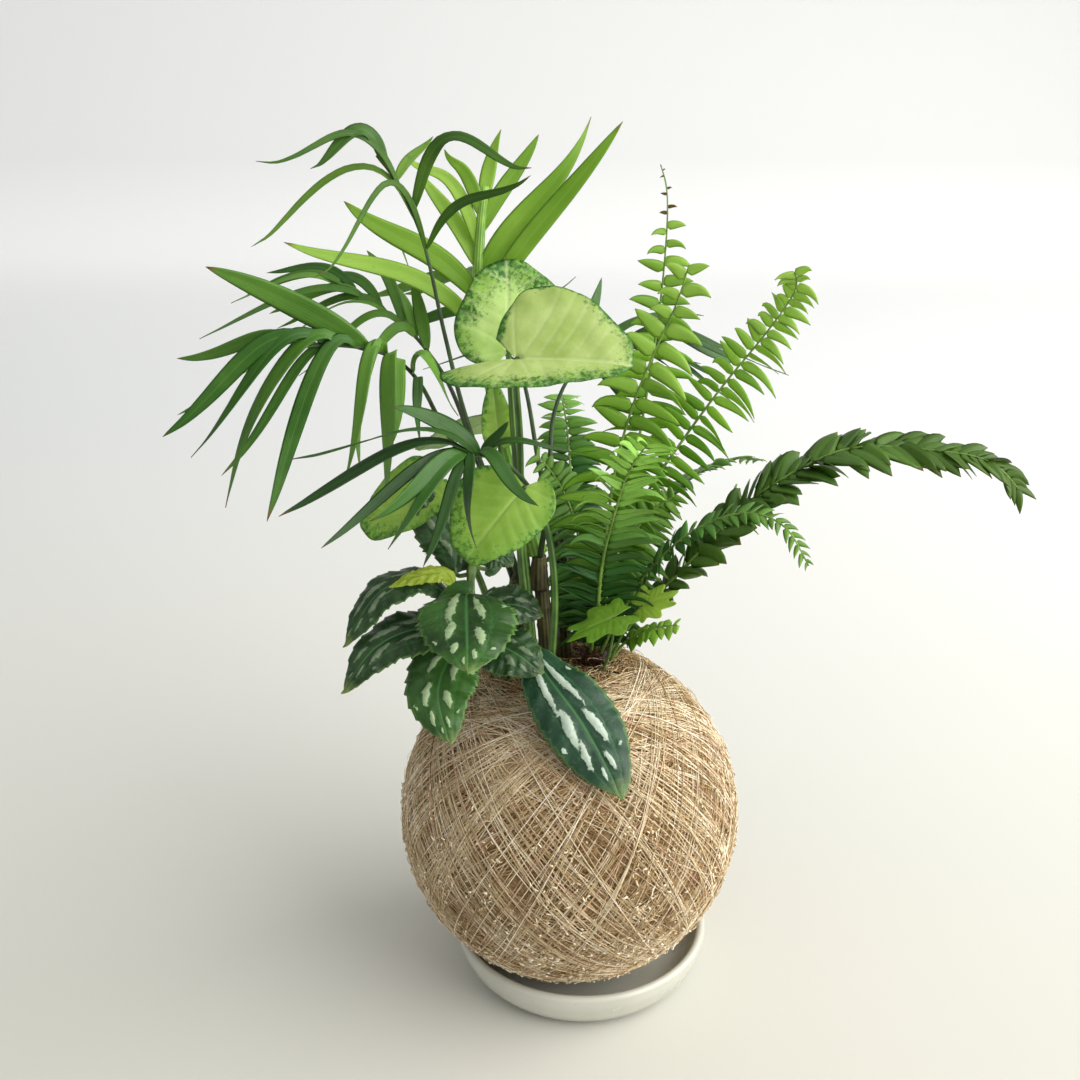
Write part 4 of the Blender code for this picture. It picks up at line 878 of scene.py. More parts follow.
# %% Palm fronds
PALM_FRONDS = {
    "palm_frond_tall_dark": dict(
        route=((-26.4, 8.3, 176.3), (-36, 5, 212), (-46, 0, 248), (-52, -5, 278), (-58, -12, 312),
               (-66, -16, 332), (-72, -18, 341)),
        facing=(0.3, -0.75, 0.6), look="olive", hook=0.0, extra=False,
        leaflets=(
            (0.76, (-91, -44, 305), 0.55, 1.1),
            (0.79, (-20, -42, 337), 0.14, 1.7),
            (0.84, (-113, -34, 313), 0.32, 1.3),
            (0.87, (-20, -42, 339), 0.34, 2.4),
            (0.91, (-108, -40, 341), 0.30, 1.3),
            (0.94, (-54, -6, 346), 0.10, 1.8),
            (0.97, (-92, -32, 338), 0.40, 2.6),
        ),
    ),
    "palm_frond_tall_bright": dict(
        route=((-18.5, 9.6, 186.3), (-31, 17, 230), (-38, 22, 262), (-41, 24, 286), (-40, 25, 308),
               (-38, 26, 326)),
        facing=(0.0, -0.9, 0.4), look="bright", hook=1.5, extra=False,
        leaflets=(
            (0.62, (-111, 12, 309), 0.10, 3.6),
            (0.67, (12, 16, 350), 0.04, 4.0),
            (0.71, (-90, 24, 322), 0.08, 4.6),
            (0.75, (1, 26, 352), 0.06, 4.6),
            (0.79, (-63, 36, 331), 0.08, 3.4),
            (0.84, (-67, 25, 338), 0.25, 2.6),
            (0.88, (-18, 33, 344), 0.06, 3.0),
            (0.92, (-52, 18, 341), 0.22, 2.6),
            (0.96, (-32, 36, 346), 0.02, 3.0),
        ),
    ),
    "palm_frond_left": dict(
        route=((-28.8, 10.1, 176.3), (-40, 9, 212), (-54, 4, 240), (-61, -8, 260), (-68, -17, 271),
               (-77, -25, 277), (-88, -32, 280), (-98, -38, 281)),
        facing=(0.0, -0.85, 0.5), look="mid", extra=False,
        leaflets=(
            (0.64, (-60, -26, 246), 0.25, 2.0),
            (0.68, (-46, -30, 256), 0.35, 4.0),
            (0.72, (-69, -36, 248), 0.22, 2.6),
            (0.755, (-71, -44, 229), 0.22, 4.4),
            (0.775, (-79, -46, 242), 0.30, 1.7),
            (0.79, (-84, -50, 240), 0.25, 2.6),
            (0.825, (-127, -40, 310), 0.02, 4.4),
            (0.86, (-110, -56, 226), 0.22, 3.0),
            (0.88, (-126, -48, 240), 0.16, 1.8),
            (0.895, (-123, -58, 233), 0.22, 3.2),
            (0.93, (-134, -54, 249), 0.20, 2.6),
            (0.96, (-144, -50, 256), 0.16, 3.4),
            (0.97, (-140, -44, 262), 0.12, 1.6),
            (0.985, (-142, -30, 276), 0.10, 2.4),
        ),
    ),
    "palm_frond_left_rear": dict(
        route=((-26.1, 11.6, 176.3), (-39, 18, 212), (-51, 21, 248), (-62, 24, 266), (-72, 28, 275),
               (-85, 32, 284), (-97, 36, 287)),
        facing=(0.0, -0.75, 0.65), look="mid",
        leaflets=(
            (0.68, (-71, 34, 306), 0.05, 3.0),
            (0.73, (-84, 14, 266), 0.25, 2.2),
            (0.77, (-85, 44, 303), 0.10, 2.4),
            (0.81, (-140, 16, 256), 0.16, 2.6),
            (0.85, (-110, 56, 290), 0.15, 2.4),
            (0.89, (-148, 24, 272), 0.10, 2.6),
            (0.93, (-126, 52, 290), 0.12, 2.2),
            (0.97, (-138, 38, 283), 0.12, 2.4),
        ),
    ),
    "palm_frond_front": dict(
        route=((-17.6, 6.5, 186.3), (-16, -1, 205), (-21, -15, 222), (-31, -30, 238), (-42, -50, 247)),
        facing=(0.0, -0.6, 0.8), look="dark", hook=0.0, extra=False,
        leaflets=(
            (0.90, (-28, -48, 258), 0.05, 2.0),
            (0.90, (-66, -56, 265), 0.06, 3.4),
            (0.91, (3, -52, 249), 0.12, 2.6),
            (0.93, (-96, -78, 254), 0.12, 2.8),
            (0.94, (-18, -74, 237), 0.14, 2.8),
            (0.95, (-100, -84, 237), 0.12, 3.4),
            (0.96, (-72, -80, 234), 0.10, 3.0),
            (0.96, (-87, -86, 227), 0.10, 2.2),
            (0.975, (-66, -84, 226), 0.10, 2.6),
            (0.98, (-55, -84, 220), 0.10, 2.2),
            (0.985, (-38, -80, 225), 0.12, 2.4),
        ),
    ),
    "palm_frond_right": dict(
        route=((-7.8, 23.2, 180.3), (-13, 28, 212), (-12, 36, 236), (-3, 44, 253), (11, 50, 261),
               (27, 54, 264)),
        facing=(0.0, -0.5, 0.85), look="dark",
        leaflets=(
            (0.66, (8, 74, 284), 0.05, 3.0),
            (0.72, (18, 40, 240), 0.15, 2.6),
            (0.79, (50, 66, 272), 0.08, 3.0),
            (0.85, (60, 46, 239), 0.12, 3.0),
            (0.91, (84, 52, 249), 0.10, 3.0),
            (0.96, (66, 72, 250), 0.10, 4.0),
        ),
    ),
    "palm_frond_rear": dict(
        route=((-10.0, 25.1, 180.3), (-18, 38, 214), (-24, 52, 244), (-34, 64, 268), (-46, 74, 282)),
        facing=(-0.2, 0.6, 0.8), look="mid",
        leaflets=(
            (0.60, (2, 78, 262), 0.12, 3.0),
            (0.66, (-66, 58, 250), 0.12, 2.6),
            (0.72, (-2, 88, 282), 0.12, 3.4),
            (0.78, (-84, 74, 262), 0.14, 3.0),
            (0.84, (-22, 106, 284), 0.15, 3.0),
            (0.90, (-92, 90, 274), 0.15, 3.0),
            (0.96, (-62, 110, 276), 0.14, 3.0),
        ),
    ),
}

PALM_LOOKS = {
    "dark": (palm_dark, palm_stalk_dark, 1.0),
    "olive": (palm_olive, palm_stalk_dark, 1.0),
    "mid": (palm_mid, palm_stalk_dark, 1.0),
    "bright": (palm_bright, palm_stalk_bright, 3.3),
}
STRAP_SECTIONS = 28
STRAP_SLICES = 8


def arched_route(start, tip, rise):
    """A curve from start to tip that rises soon and droops slowly: at t it lies t of the way, plus
    7.4 rise spans times t (1 - t)^2 upward, which is highest a third of the way along."""
    t = np.linspace(0.0, 1.0, 9)[:, None]
    span = np.linalg.norm(tip - start)
    lift = 7.425 * rise * span * t * (1.0 - t) ** 2
    return Route(start + (tip - start) * t + lift * np.array((0.0, 0.0, 1.0)))


def strap_width(u):
    """Width of a strap along its length: u^0.5 (1 - u)^0.75, scaled to 1 at its widest, on a narrow
    claw at the base."""
    body = u ** 0.5 * (1.0 - u) ** 0.75
    return np.maximum(body / body.max(), 0.16 * (1.0 - u) + 0.02)


def strap(start, tip, rise, hook, facing, half, word):
    """One palm leaflet: centre line, headings and half widths for blades(). rise is the height of its
    arch, as a share of its span. Past half of its length it hangs down more and more, by hook at the
    tip."""
    throw = dice(word)
    route = arched_route(start, tip, rise)
    u = np.linspace(0.0, 1.0, STRAP_SECTIONS)
    centre = route.at(u)
    sway = 0.05 * route.length * np.sin(pi * u) * throw.normal()
    hang = hook * throw.uniform(0.2, 1.2) * np.clip((u - 0.5) / 0.5, 0.0, 1.0) ** 2
    side, up = frames(route.heading(u), facing)
    wave = 0.01 * route.length * np.sin(2.5 * pi * u)
    centre = centre + side * (sway * u)[:, None] + up * wave[:, None]
    centre = centre - hang[:, None] * np.array((0.0, 0.0, 1.0))
    heading = unit(np.gradient(centre, axis=0))
    roll = throw.normal(0.0, 0.7) * u + throw.normal(0.0, 0.25)
    width = half * strap_width(u)
    return centre, heading, width * throw.uniform(0.92, 1.05), width * throw.uniform(0.92, 1.05), roll


def between(leaflets, spine, outward, word):
    """Slimmer straps between neighbours on the same side of the stalk: halfway in every number, with
    the tip moved a little by chance."""
    throw = dice(word)
    middle = spine.at(0.8)
    side, _ = frames(spine.heading(0.8), outward)
    left = [leaf for leaf in leaflets if (millimetres(leaf[1]) - middle) @ side < 0.0]
    right = [leaf for leaf in leaflets if leaf not in left]
    made = []
    for row in (left, right):
        for (a, tip_a, rise_a, half_a), (b, tip_b, rise_b, half_b) in zip(row, row[1:]):
            tip = (np.array(tip_a) + tip_b) / 2.0 + throw.normal(0.0, 3.0, 3)
            reach = np.array(spine.at((a + b) / 2.0)) / MM
            tip = reach + (tip - reach) * throw.uniform(0.75, 1.0)
            if throw.uniform() < 0.7:
                made.append(((a + b) / 2.0, tip, (rise_a + rise_b) / 2.0, 0.4 * (half_a + half_b)))
    return made


def palm_frond(name, route, facing, look, leaflets, hook=3.0, extra=True):
    """A frond: a tapering stalk and all of its straps as one block of blades."""
    leaf, stem, thick = PALM_LOOKS[look]
    spine = Route(millimetres(route))
    outward = unit(facing)
    grown = []
    every = list(leaflets) + (between(leaflets, spine, outward, name) if extra else [])
    for k, (share, tip, rise, half) in enumerate(every):
        base = spine.at(share)
        grown.append(strap(base, millimetres(tip), rise, hook * MM, outward, half * MM, f"{name}{k}"))
    centre, heading, left, right, roll = map(np.stack, zip(*grown))
    throw = dice(name)
    rings, across = blades(centre, heading, outward, left, right, STRAP_SLICES, 0.28 * MM, fold=0.22,
                           curl=0.10, roll=roll)
    frond = Body()
    frond.add(rings, across=across, chance=throw.uniform(0, 1, len(centre)))
    frond.add(stalk(spine, lambda s: thick * (1.25 - 0.75 * s) * MM, 8, 70, outward),
              across=round_marks(8), finish=1)
    frond.piece(name + "_straps", [name], [leaf, stem])


for name, frond in PALM_FRONDS.items():
    palm_frond(name, **frond)

# %% [markdown]
# ## The fern
# A sword fern frond is a wiry stalk with many leaflets, called pinnae, on both sides. A pinna is a
# small sickle that bends towards the tip of the frond and hangs a little. They shorten towards that
# tip, which uncurls last. Several hundred are needed, so each has only a few dozen faces, and one
# array holds every pinna of a frond. Hair curves could be scattered in their place, but then they
# couldn't be closed blades that are broad near the base.

# %% Fern finishes
# Every fern finish has painted shade at the foot of its frond: low sets how high and how strong.
fern_bright = leaf_finish("fern_leaf_bright", "4f8a1c", "90c040", "bcdc3c", 0.42, 1.0, dry="6b4a20",
                          rib=0.35, tips="b0d266")
fern_mid = leaf_finish("fern_leaf_mid", "184c12", "3a7826", "7cb828", 0.28, 1.0, dry="6b4a20", rib=0.3,
                       tips="b4ec68", low=(0.6, 0.8))
fern_dark = leaf_finish("fern_leaf_dark", "24501a", "548a38", "7aa82c", 0.22, 1.0, dry="6b4a20", rib=0.3,
                        tips="6f9a34")
fern_olive = leaf_finish("fern_leaf_olive", "34561a", "628a34", "7c9c24", 0.26, 1.0, dry="6b4a20", rib=0.3,
                         tips="43620e", low=(0.3, 0.15))
fern_stalk = stem_finish("fern_stalk", "4f7028", "86a848")
scale_brown = stem_finish("fern_scale", "2a1408", "6b4022", 300.0)

# %% Crown of the fern
FERN_CROWN = np.array((6.0, 12.0)) * MM
CROWN_HEIGHT = 8.0 * MM
CROWN_FOOT = 1.5 * MM
SCALES = 260
GAP = 0.3 * MM
crown_top = soil_height(*FERN_CROWN) + GAP + CROWN_HEIGHT


def crown_radius(s):
    """Crown outline: a low round knob, widest near the middle."""
    return (5.6 + 1.8 * np.sin(pi * np.clip(s, 0, 1) ** 0.8) - 0.6 * s) * MM


knob = Body()
low = np.array((*FERN_CROWN, crown_top - CROWN_HEIGHT - CROWN_FOOT))
knob_route = Route([low, low + (0.0, 0.0, CROWN_HEIGHT + CROWN_FOOT)])
rings = stalk(knob_route, crown_radius, 28, 14)
rings = rings + 0.5 * MM * ripple(rings, 3.0 * MM, "knob")[..., None] * unit(rings - low)
knob.add(rings, across=round_marks(28))
throw = dice("scales")
turn = throw.uniform(0.0, 2.0 * pi, SCALES)
level = throw.uniform(0.1, 1.0, SCALES)
out = np.stack([np.cos(turn), np.sin(turn), np.zeros(SCALES)], -1)
start = low + out * crown_radius(level)[:, None]
start = start + np.outer(level * (CROWN_HEIGHT + CROWN_FOOT), (0, 0, 1))
way = unit(0.5 * out + throw.normal(0.0, 0.4, (SCALES, 3)) + (0.0, 0.0, 1.0))
u = np.linspace(0.0, 1.0, 5)[None, :, None]
size = throw.uniform(2.0, 5.5, (SCALES, 1, 1)) * MM
centre = start[:, None] + way[:, None] * u * size + out[:, None] * 0.3 * size * u ** 2
heading = unit(np.gradient(centre, axis=1))
width = 0.32 * MM * (1.05 - u[..., 0]) * np.ones((SCALES, 1))
rings, across = blades(centre, heading, out[:, None], width, width, 3, 0.12 * MM)
knob.add(rings, across=across, chance=throw.uniform(0, 1, SCALES))
knob.piece("fern_crown_scales", ["fern_crown"], [scale_brown])

# %% Fern fronds
FERN_FRONDS = {
    "fern_frond_tall": dict(
        route=((9.7, 15.7, 0), (12, 22, 172), (20, 30, 214), (27, 34, 262), (30, 34, 296), (30, 32, 322),
               (26, 29, 336)),
        facing=(0.0, -0.95, 0.3), bare=0.30, pairs=19, longest=18, width=2.6, droop=0.45, look="bright",
        crisp=3, least=0.15),
    "fern_frond_middle": dict(
        route=((5, 10.3, 0), (7, 7, 180), (11, 4, 222), (17, 0, 250), (24, -4, 271), (31, -8, 290),
               (35, -11, 306)),
        facing=(-0.15, -0.9, 0.45), bare=0.16, pairs=18, longest=22, width=3.2, droop=0.5, look="bright",
        least=0.42),
    "fern_frond_right": dict(
        route=((11.2, 12.4, 0), (14, 14, 176), (24, 19, 206), (38, 19, 230), (52, 15, 253), (67, 9, 276),
               (75, 4, 292), (73, 1, 301)),
        facing=(-0.3, -0.85, 0.4), bare=0.16, pairs=32, longest=17, width=2.1, droop=0.55, look="bright",
        least=0.42, lead=0.15, close=0.4),
    "fern_frond_arching": dict(
        route=((10.3, 9, 0), (25, 8, 164), (42, 7, 184), (60, 6, 206), (76, 4, 220), (99, 0, 233),
               (128, -5, 234), (149, -10, 231), (161, -16, 220)),
        facing=(-0.35, -0.3, 0.9), bare=0.14, pairs=46, longest=20, width=4.8, droop=0.35, look="olive",
        least=0.36, lead=0.95, roll=0.5, blunt=4.0, close=0.2),
    "fern_frond_low_right": dict(
        route=((6.9, 6.9, 0), (14, 0, 164), (25, -10, 188), (39, -17, 206), (56, -24, 216), (70, -32, 214),
               (79, -42, 201)),
        facing=(-0.2, -0.25, 0.95), bare=0.3, pairs=25, longest=11, width=2.1, droop=0.3, look="dark",
        lead=0.5),
    "fern_frond_bushy": dict(
        route=((3, 7.7, 0), (5, -2, 166), (6, -14, 192), (9, -28, 216), (13, -42, 238), (19, -56, 254)),
        facing=(0.05, 0.72, 0.63), bare=0.03, pairs=30, longest=23, width=1.8, droop=0.5, look="mid",
        least=0.55, lead=0.5, roll=0.45),
    "fern_frond_low_rear": dict(
        route=((6, 17.2, 0), (12, 26, 164), (24, 38, 186), (42, 50, 202), (62, 62, 208), (80, 74, 204)),
        facing=(-0.2, 0.3, 0.93), bare=0.2, pairs=26, longest=16, width=2.6, droop=0.35, look="dark"),
    "fern_frond_back": dict(
        route=((2.3, 15.7, 0), (0, 30, 170), (-4, 48, 200), (-6, 68, 220), (-8, 90, 228), (-8, 110, 222)),
        facing=(0.0, 0.2, 0.98), bare=0.25, pairs=26, longest=17, width=2.6, droop=0.35, look="mid"),
    "fern_frond_left": dict(
        route=((0.8, 12, 0), (1, 18, 170), (-4, 21, 197), (-11, 22, 213), (-20, 21, 225)),
        facing=(0.2, -0.7, 0.7), bare=0.04, pairs=24, longest=21, width=2.4, droop=0.45, look="dark"),
    "fern_frond_inner": dict(
        route=((8, 12, 0), (10, 11.5, 172), (17, 11, 190), (26, 11, 203), (36, 11, 211)),
        facing=(0.0, -0.9, 0.4), bare=0.04, pairs=24, longest=22, width=2.4, droop=0.4, look="dark"),
    "fern_frond_short": dict(
        route=((11, 3.8, 0), (11.5, 3.6, 142), (17, 2.5, 151), (26, -1, 158), (37, -5, 162)),
        facing=(-0.1, -0.3, 0.95), bare=0.35, pairs=8, longest=7, width=3.4, droop=0.5, look="bright",
        least=0.7, blunt=4.0, roll=0.3, slim=0.4, on_soil=True),
}

FERN_LOOKS = {"bright": fern_bright, "mid": fern_mid, "dark": fern_dark, "olive": fern_olive}
PINNA_SECTIONS = 9
PINNA_SLICES = 5
FROND_END = 0.985


def pinna_length(share, longest, least):
    """Pinnae are a little short at the base, longest low down and taper towards the tip."""
    swell = 0.62 + 0.38 * np.minimum(1.0, share / 0.22)
    return longest * swell * (1.0 - (1.0 - least) * share ** 2.0) * MM


def pinna_outline(u, blunt):
    """Half widths of a pinna along its length, on the side towards the tip and on the other one. Both
    follow (1 - u^blunt)^0.85 times a quick rise from the base; the lower one is a little narrower."""
    rise = np.clip((u + 0.02) / 0.16, 0.0, 1.0) ** 0.6
    body = np.maximum((1.0 - u ** blunt) ** 0.85 * rise, 0.03)
    return 1.05 * body, 0.9 * body


def fern_frond(name, route, facing, bare, pairs, longest, width, droop, look, crisp=0, on_soil=False,
               lead=0.1, least=0.3, roll=0.3, blunt=2.4, close=0.0, slim=0.24):
    """A frond. A pinna's centre line starts at the stalk and goes a share u of its reach outward,
    plus (0.35 u^2 + 0.4 u^4) times a bend towards the tip and down. Pinna n of N stands at t (1 + close)
    - close t^2 of the leafy stretch, with t = n / N, so that they stand closer towards the tip. Its
    half width is at most slim times its reach."""
    points = millimetres(route)
    points[0, 2] = (soil_height(*points[0, :2]) if on_soil else crown_top - ROOT_DEPTH)
    spine = Route(points)
    outward = unit(facing)
    throw = dice(name)
    order = np.repeat(np.arange(pairs), 2)
    sides = np.tile((1.0, -1.0), pairs)
    count = len(order)
    spot = (order + 0.35 + 0.3 * (sides > 0)) / pairs
    share = bare + (FROND_END - bare) * (spot * (1.0 + close) - close * spot ** 2)
    base, heading = spine.at(share), spine.heading(share)
    side, up = frames(heading, outward)
    reach = pinna_length(order / (pairs - 1), longest, least) * throw.uniform(0.82, 1.12, count)
    reach = np.where(order >= pairs - crisp, 0.6, 1.0) * reach
    lead = lead + 0.5 * (order / pairs) ** 3 + throw.normal(0.0, 0.12, count)
    way = unit(side * sides[:, None] + heading * lead[:, None] + up * 0.12)
    bend = heading * 0.16 + np.array((0.0, 0.0, -1.0)) * (droop * throw.uniform(0.4, 1.7, count))[:, None]
    u = np.linspace(0.0, 1.0, PINNA_SECTIONS)[None, :, None]
    sickle = 0.35 * u ** 2 + 0.4 * u ** 4
    centre = base[:, None] + reach[:, None, None] * (way[:, None] * u + bend[:, None] * sickle)
    course = unit(np.gradient(centre, axis=1))
    upper, lower = pinna_outline(u[0, :, 0], blunt)
    half = np.minimum(width * MM, slim * reach)[:, None]
    left = half * np.where(sides[:, None] > 0, upper, lower)
    right = half * np.where(sides[:, None] > 0, lower, upper)
    twist = throw.normal(0.0, roll, (count, 1)) + throw.normal(0.0, roll, (count, 1)) * u[0, :, 0]
    rings, across = blades(centre, course, up[:, None], left, right, PINNA_SLICES, 0.24 * MM, fold=-0.12,
                           curl=0.12, roll=twist)
    up_frond = np.where(order >= pairs - crisp, 2.0, order / pairs)[:, None, None]
    frond = Body()
    frond.add(rings, across=across, chance=throw.uniform(0, 1, count), mark=up_frond)
    frond.add(stalk(spine, lambda s: (0.85 - 0.6 * s) * MM, 7, 80, outward, 0.0, FROND_END),
              across=round_marks(7), finish=1)
    frond.piece(name + "_pinnae", [name], [FERN_LOOKS[look], fern_stalk])


for name, frond in FERN_FRONDS.items():
    fern_frond(name, **frond)

# %% [markdown]
# ## The arrowhead leaves
# Each is a heart with two rear lobes, on a long petiole that meets the blade in its notch. The
# blade is pale cream green with a dark green, speckled margin and fine veins. A grid of rows and
# columns can't follow a heart, so the grid is polar: one number goes round the margin from one side
# of the notch to the other, and one goes from the notch out to the margin. The margin is a heart made by
# a formula. A leaf can have one lobe longer than the other, and the young leaves have a jagged margin.

# %% Arrowhead finish
def arrowhead_finish(name, inner, outer, start, veins, glow):
    """Pale inside, green at the margin, from a rim number of start on. Noise breaks the edge between
    them into speckles."""
    made = Recipe(name)
    _, across, _ = made.growth()
    vein = made.mark()
    cloud = made.noise(70.0, 5.0, 0.6)
    dots = made.noise(650.0, 3.0, 0.7)
    rim = made.maths("ADD", made.maths("MULTIPLY", across, 0.9), made.maths("MULTIPLY", cloud, 0.75))
    rim = made.maths("ADD", rim, made.maths("MULTIPLY", dots, 0.5))
    pale = made.blend(made.span(cloud, 0.3, 0.7), tone(inner), tone(outer))
    colour = made.blend(made.span(rim, start, start + 0.3), pale, tone("6aa53a"))
    colour = made.blend(made.span(made.maths("ADD", rim, made.maths("MULTIPLY", dots, 0.8)), start + 0.5,
                                  start + 0.75), colour, tone("2f6a22"))
    colour = made.blend(made.span(vein, 0.2, 1.0, 0.0, veins), colour, tone("e8f2bc"))
    made.bump(made.maths("ADD", cloud, made.maths("MULTIPLY", dots, 0.3)), 0.0003, 0.4)
    made.finish(colour, made.span(dots, 0.3, 0.7, 0.32, 0.5), Specular_IOR_Level=0.45)
    made.glow(made.blend(0.4, colour, tone("b8dc50")), glow)
    return made.material


cream_leaf = arrowhead_finish("arrowhead_leaf_cream", "a8c25e", "d4e496", 1.18, 0.5, 0.32)
mottled_leaf = arrowhead_finish("arrowhead_leaf_mottled", "a4d058", "def2a4", 1.2, 0.5, 0.36)
green_leaf = arrowhead_finish("arrowhead_leaf_green", "7aa634", "a6ca56", 1.3, 0.12, 0.26)
ARROW_LOOKS = {"cream": cream_leaf, "mottled": mottled_leaf, "green": green_leaf}
petiole_green = stem_finish("arrowhead_petiole", "284a16", "608238", 60.0, 5.0)

# %% Arrowhead leaves
ARROW_LEAVES = {
    "arrowhead_leaf_front": dict(
        petiole=((-20, 0, 0), (-25, -3, 190), (-25, -3, 216), (-25, -12, 242), (-26, -26, 266)),
        notch=(-26, -30, 275), tip=(13, -42, 278), facing=(0.0, -0.6, 0.8), half_width=21,
        lobe=1.0, uneven=0.2, lag=0.65, fold=0.5, look="cream",
        clean=(0.03, 0.6)),
    "arrowhead_leaf_upper": dict(
        petiole=((-19, 4, 0), (-24, 3, 190), (-27, 3, 230), (-29, 3, 264)),
        notch=(-29, 2, 270), tip=(-30, 13, 302), facing=(0.0, -0.93, 0.36), half_width=21,
        lobe=0.33, uneven=-0.1, fold=0.1, look="mottled"),
    "arrowhead_leaf_lower": dict(
        petiole=((-14, -8, 0), (-12, -16, 176), (-14, -27, 206), (-19, -37, 226)),
        notch=(-23, -40, 232), tip=(-44, -55, 211), facing=(-0.1, -0.8, 0.6), half_width=16.5,
        lobe=0.3, uneven=-0.15, lag=-0.7, fold=0.08),
    "arrowhead_leaf_left": dict(
        petiole=((-31, 10, 0), (-40, 10, 170), (-52, 8, 200), (-58, 4, 214)),
        notch=(-60, 0, 220), tip=(-86, -6, 202), facing=(-0.15, -0.7, 0.7), half_width=13,
        lobe=0.5, fold=0.15),
    "arrowhead_leaf_young": dict(
        petiole=((-19.5, 10.5, 0), (-22, 9.2, 176), (-24, 8.6, 192), (-32, 7.9, 223)),
        notch=(-33, 7, 232), tip=(-35, 5, 256), facing=(0.2, -0.97, 0.1), half_width=6,
        lobe=0.3, fold=0.3, stem=0.8),
    "arrowhead_leaf_rear": dict(
        petiole=((-15, 30, 0), (-18, 36, 180), (-26, 46, 206), (-34, 52, 222)),
        notch=(-38, 54, 228), tip=(-70, 66, 214), facing=(-0.1, 0.4, 0.9), half_width=17,
        lobe=0.6, fold=0.12),
}
ROUND_STEPS = 70
OUT_STEPS = 22
NOTCH_ANGLE = 0.16
BLADE_THICKNESS = 0.4 * MM
RIPPLES_ROUND = 7


def heart(length, half_width, lobe):
    """Half of the margin, from beside the notch round the rear lobe to the tip. At angle t the point
    lies half of (L - r) - (L + r) cos t along and w sin(t)^0.8 (1 + 0.32 cos t) aside."""
    reach = lobe * half_width
    t = np.linspace(NOTCH_ANGLE, pi, ROUND_STEPS)
    along = 0.5 * (length - reach) - 0.5 * (length + reach) * np.cos(t)
    aside = half_width * np.clip(np.sin(t), 0.0, None) ** 0.8 * (1.0 + 0.32 * np.cos(t))
    return np.stack([along, aside], -1)


def vein_field(x, y, length, half_width):
    """1 on a vein and 0 away from it: the middle rib, side veins that leave it forward at a slant,
    and two veins into each rear lobe, each a narrow bell of the distance to its line."""
    y = np.abs(y)
    field = np.exp(-(y / (0.7 * MM)) ** 2)
    slant = 0.75
    for k in range(6):
        start = length * (0.03 + 0.14 * k)
        line = (x - start - slant * y + 0.25 * y ** 2 / half_width) / sqrt(1.0 + slant ** 2)
        field = np.maximum(field, 0.6 * np.exp(-(line / (0.75 * MM)) ** 2) * (x > start))
    for angle in (1.75, 2.35):
        line = x * sin(angle) - y * cos(angle)
        ahead = x * cos(angle) + y * sin(angle) > 0.0
        field = np.maximum(field, 0.6 * np.exp(-(line / (0.75 * MM)) ** 2) * ahead)
    return field


def arrow_leaf(name, petiole, notch, tip, facing, half_width, lobe, fold, stem=1.2, look="green",
               uneven=0.0, lag=0.0, jag=0.0, clean=(0.0, 0.0), slot="arrowhead_leaf"):
    """An arrowhead leaf: the polar blade and the petiole that carries it. One half is 1 + uneven times
    as wide as half_width and its lobe 1 - lag times as long as lobe; the other half is 1 - uneven and
    1 + lag times. The margin swells and shrinks by the share jag, seven times round. Between the two
    shares of clean, counted round the margin, the dark rim is left out."""
    base = millimetres(notch)
    way = millimetres(tip) - base
    length = np.linalg.norm(way)
    way = way / length
    up = np.array(facing, float)
    up = unit(up - way * (up @ way))
    aside = np.cross(up, way)
    half_width = half_width * MM
    first = heart(length, half_width * (1.0 + uneven), lobe * (1.0 - lag))
    second = heart(length, half_width * (1.0 - uneven), lobe * (1.0 + lag))
    edge = np.vstack([first, second[-2::-1] * (1.0, -1.0)])
    throw = dice(name)
    wave = 1.0 + 0.012 * np.sin(np.linspace(0.0, 40.0, len(edge)) + throw.uniform(0, 6))
    wave = wave + jag * np.sin(np.linspace(0.0, 2.0 * pi * RIPPLES_ROUND, len(edge)))
    edge = edge * wave[:, None]
    r = np.linspace(0.02, 1.0, OUT_STEPS) ** 0.85
    spot = edge[:, None] * r[None, :, None]
    x, y = spot[..., 0], spot[..., 1]
    vein = vein_field(x, y, length, half_width)
    quilt = 0.05 * MM * np.sin(2.0 * pi * (x - 0.75 * np.abs(y)) / (0.14 * length)) * r * (1.0 - r ** 4)
    quilt = quilt + 0.35 * MM * ripple(np.stack([x, y, 0.0 * x], -1), 9.0 * MM, name) * r
    around = np.linspace(-1.0, 1.0, len(edge))[:, None]
    wavy = 0.035 * half_width * r ** 3 * np.sin(9.0 * around + throw.uniform(0.0, 6.0))
    sag = 0.10 * np.maximum(x, 0.0) ** 2 / length + 0.10 * np.minimum(x, 0.0) ** 2 / half_width
    bow = 0.10 * y ** 2 / half_width
    high = fold * np.abs(y) * 0.8 - bow - sag + quilt - 0.25 * MM * vein + wavy
    gap = 0.5 * BLADE_THICKNESS * np.sqrt(1.0 - r ** 6)
    flat = base + x[..., None] * way + y[..., None] * aside
    top = flat + (high + gap)[..., None] * up
    under = flat + (high - gap)[..., None] * up
    rings = np.concatenate([top, under[:, -2::-1]], 1)[None]
    share = around[:, 0] * 0.5 + 0.5
    spared = np.clip((share - clean[0]) / 0.08, 0.0, 1.0) * np.clip((clean[1] - share) / 0.12, 0.0, 1.0)
    rim = r - 0.3 * spared[:, None] * np.clip((1.0 - r) / 0.04, 0.0, 1.0)
    across = np.concatenate([rim, rim[:, -2::-1]], 1)[None]
    marks = np.concatenate([vein, vein[:, -2::-1]], 1)[None]
    leaf = Body()
    leaf.add(rings, across=across, chance=throw.uniform(), mark=marks)
    route = Route(np.vstack([rooted(petiole), base + way * 0.5 * MM]))
    leaf.add(stalk(route, lambda s: stem * (1.45 - 0.55 * s) * MM, 12, 60), across=round_marks(12),
             finish=1)
    leaf.piece(name + "_blade", [name], [ARROW_LOOKS[look], petiole_green])


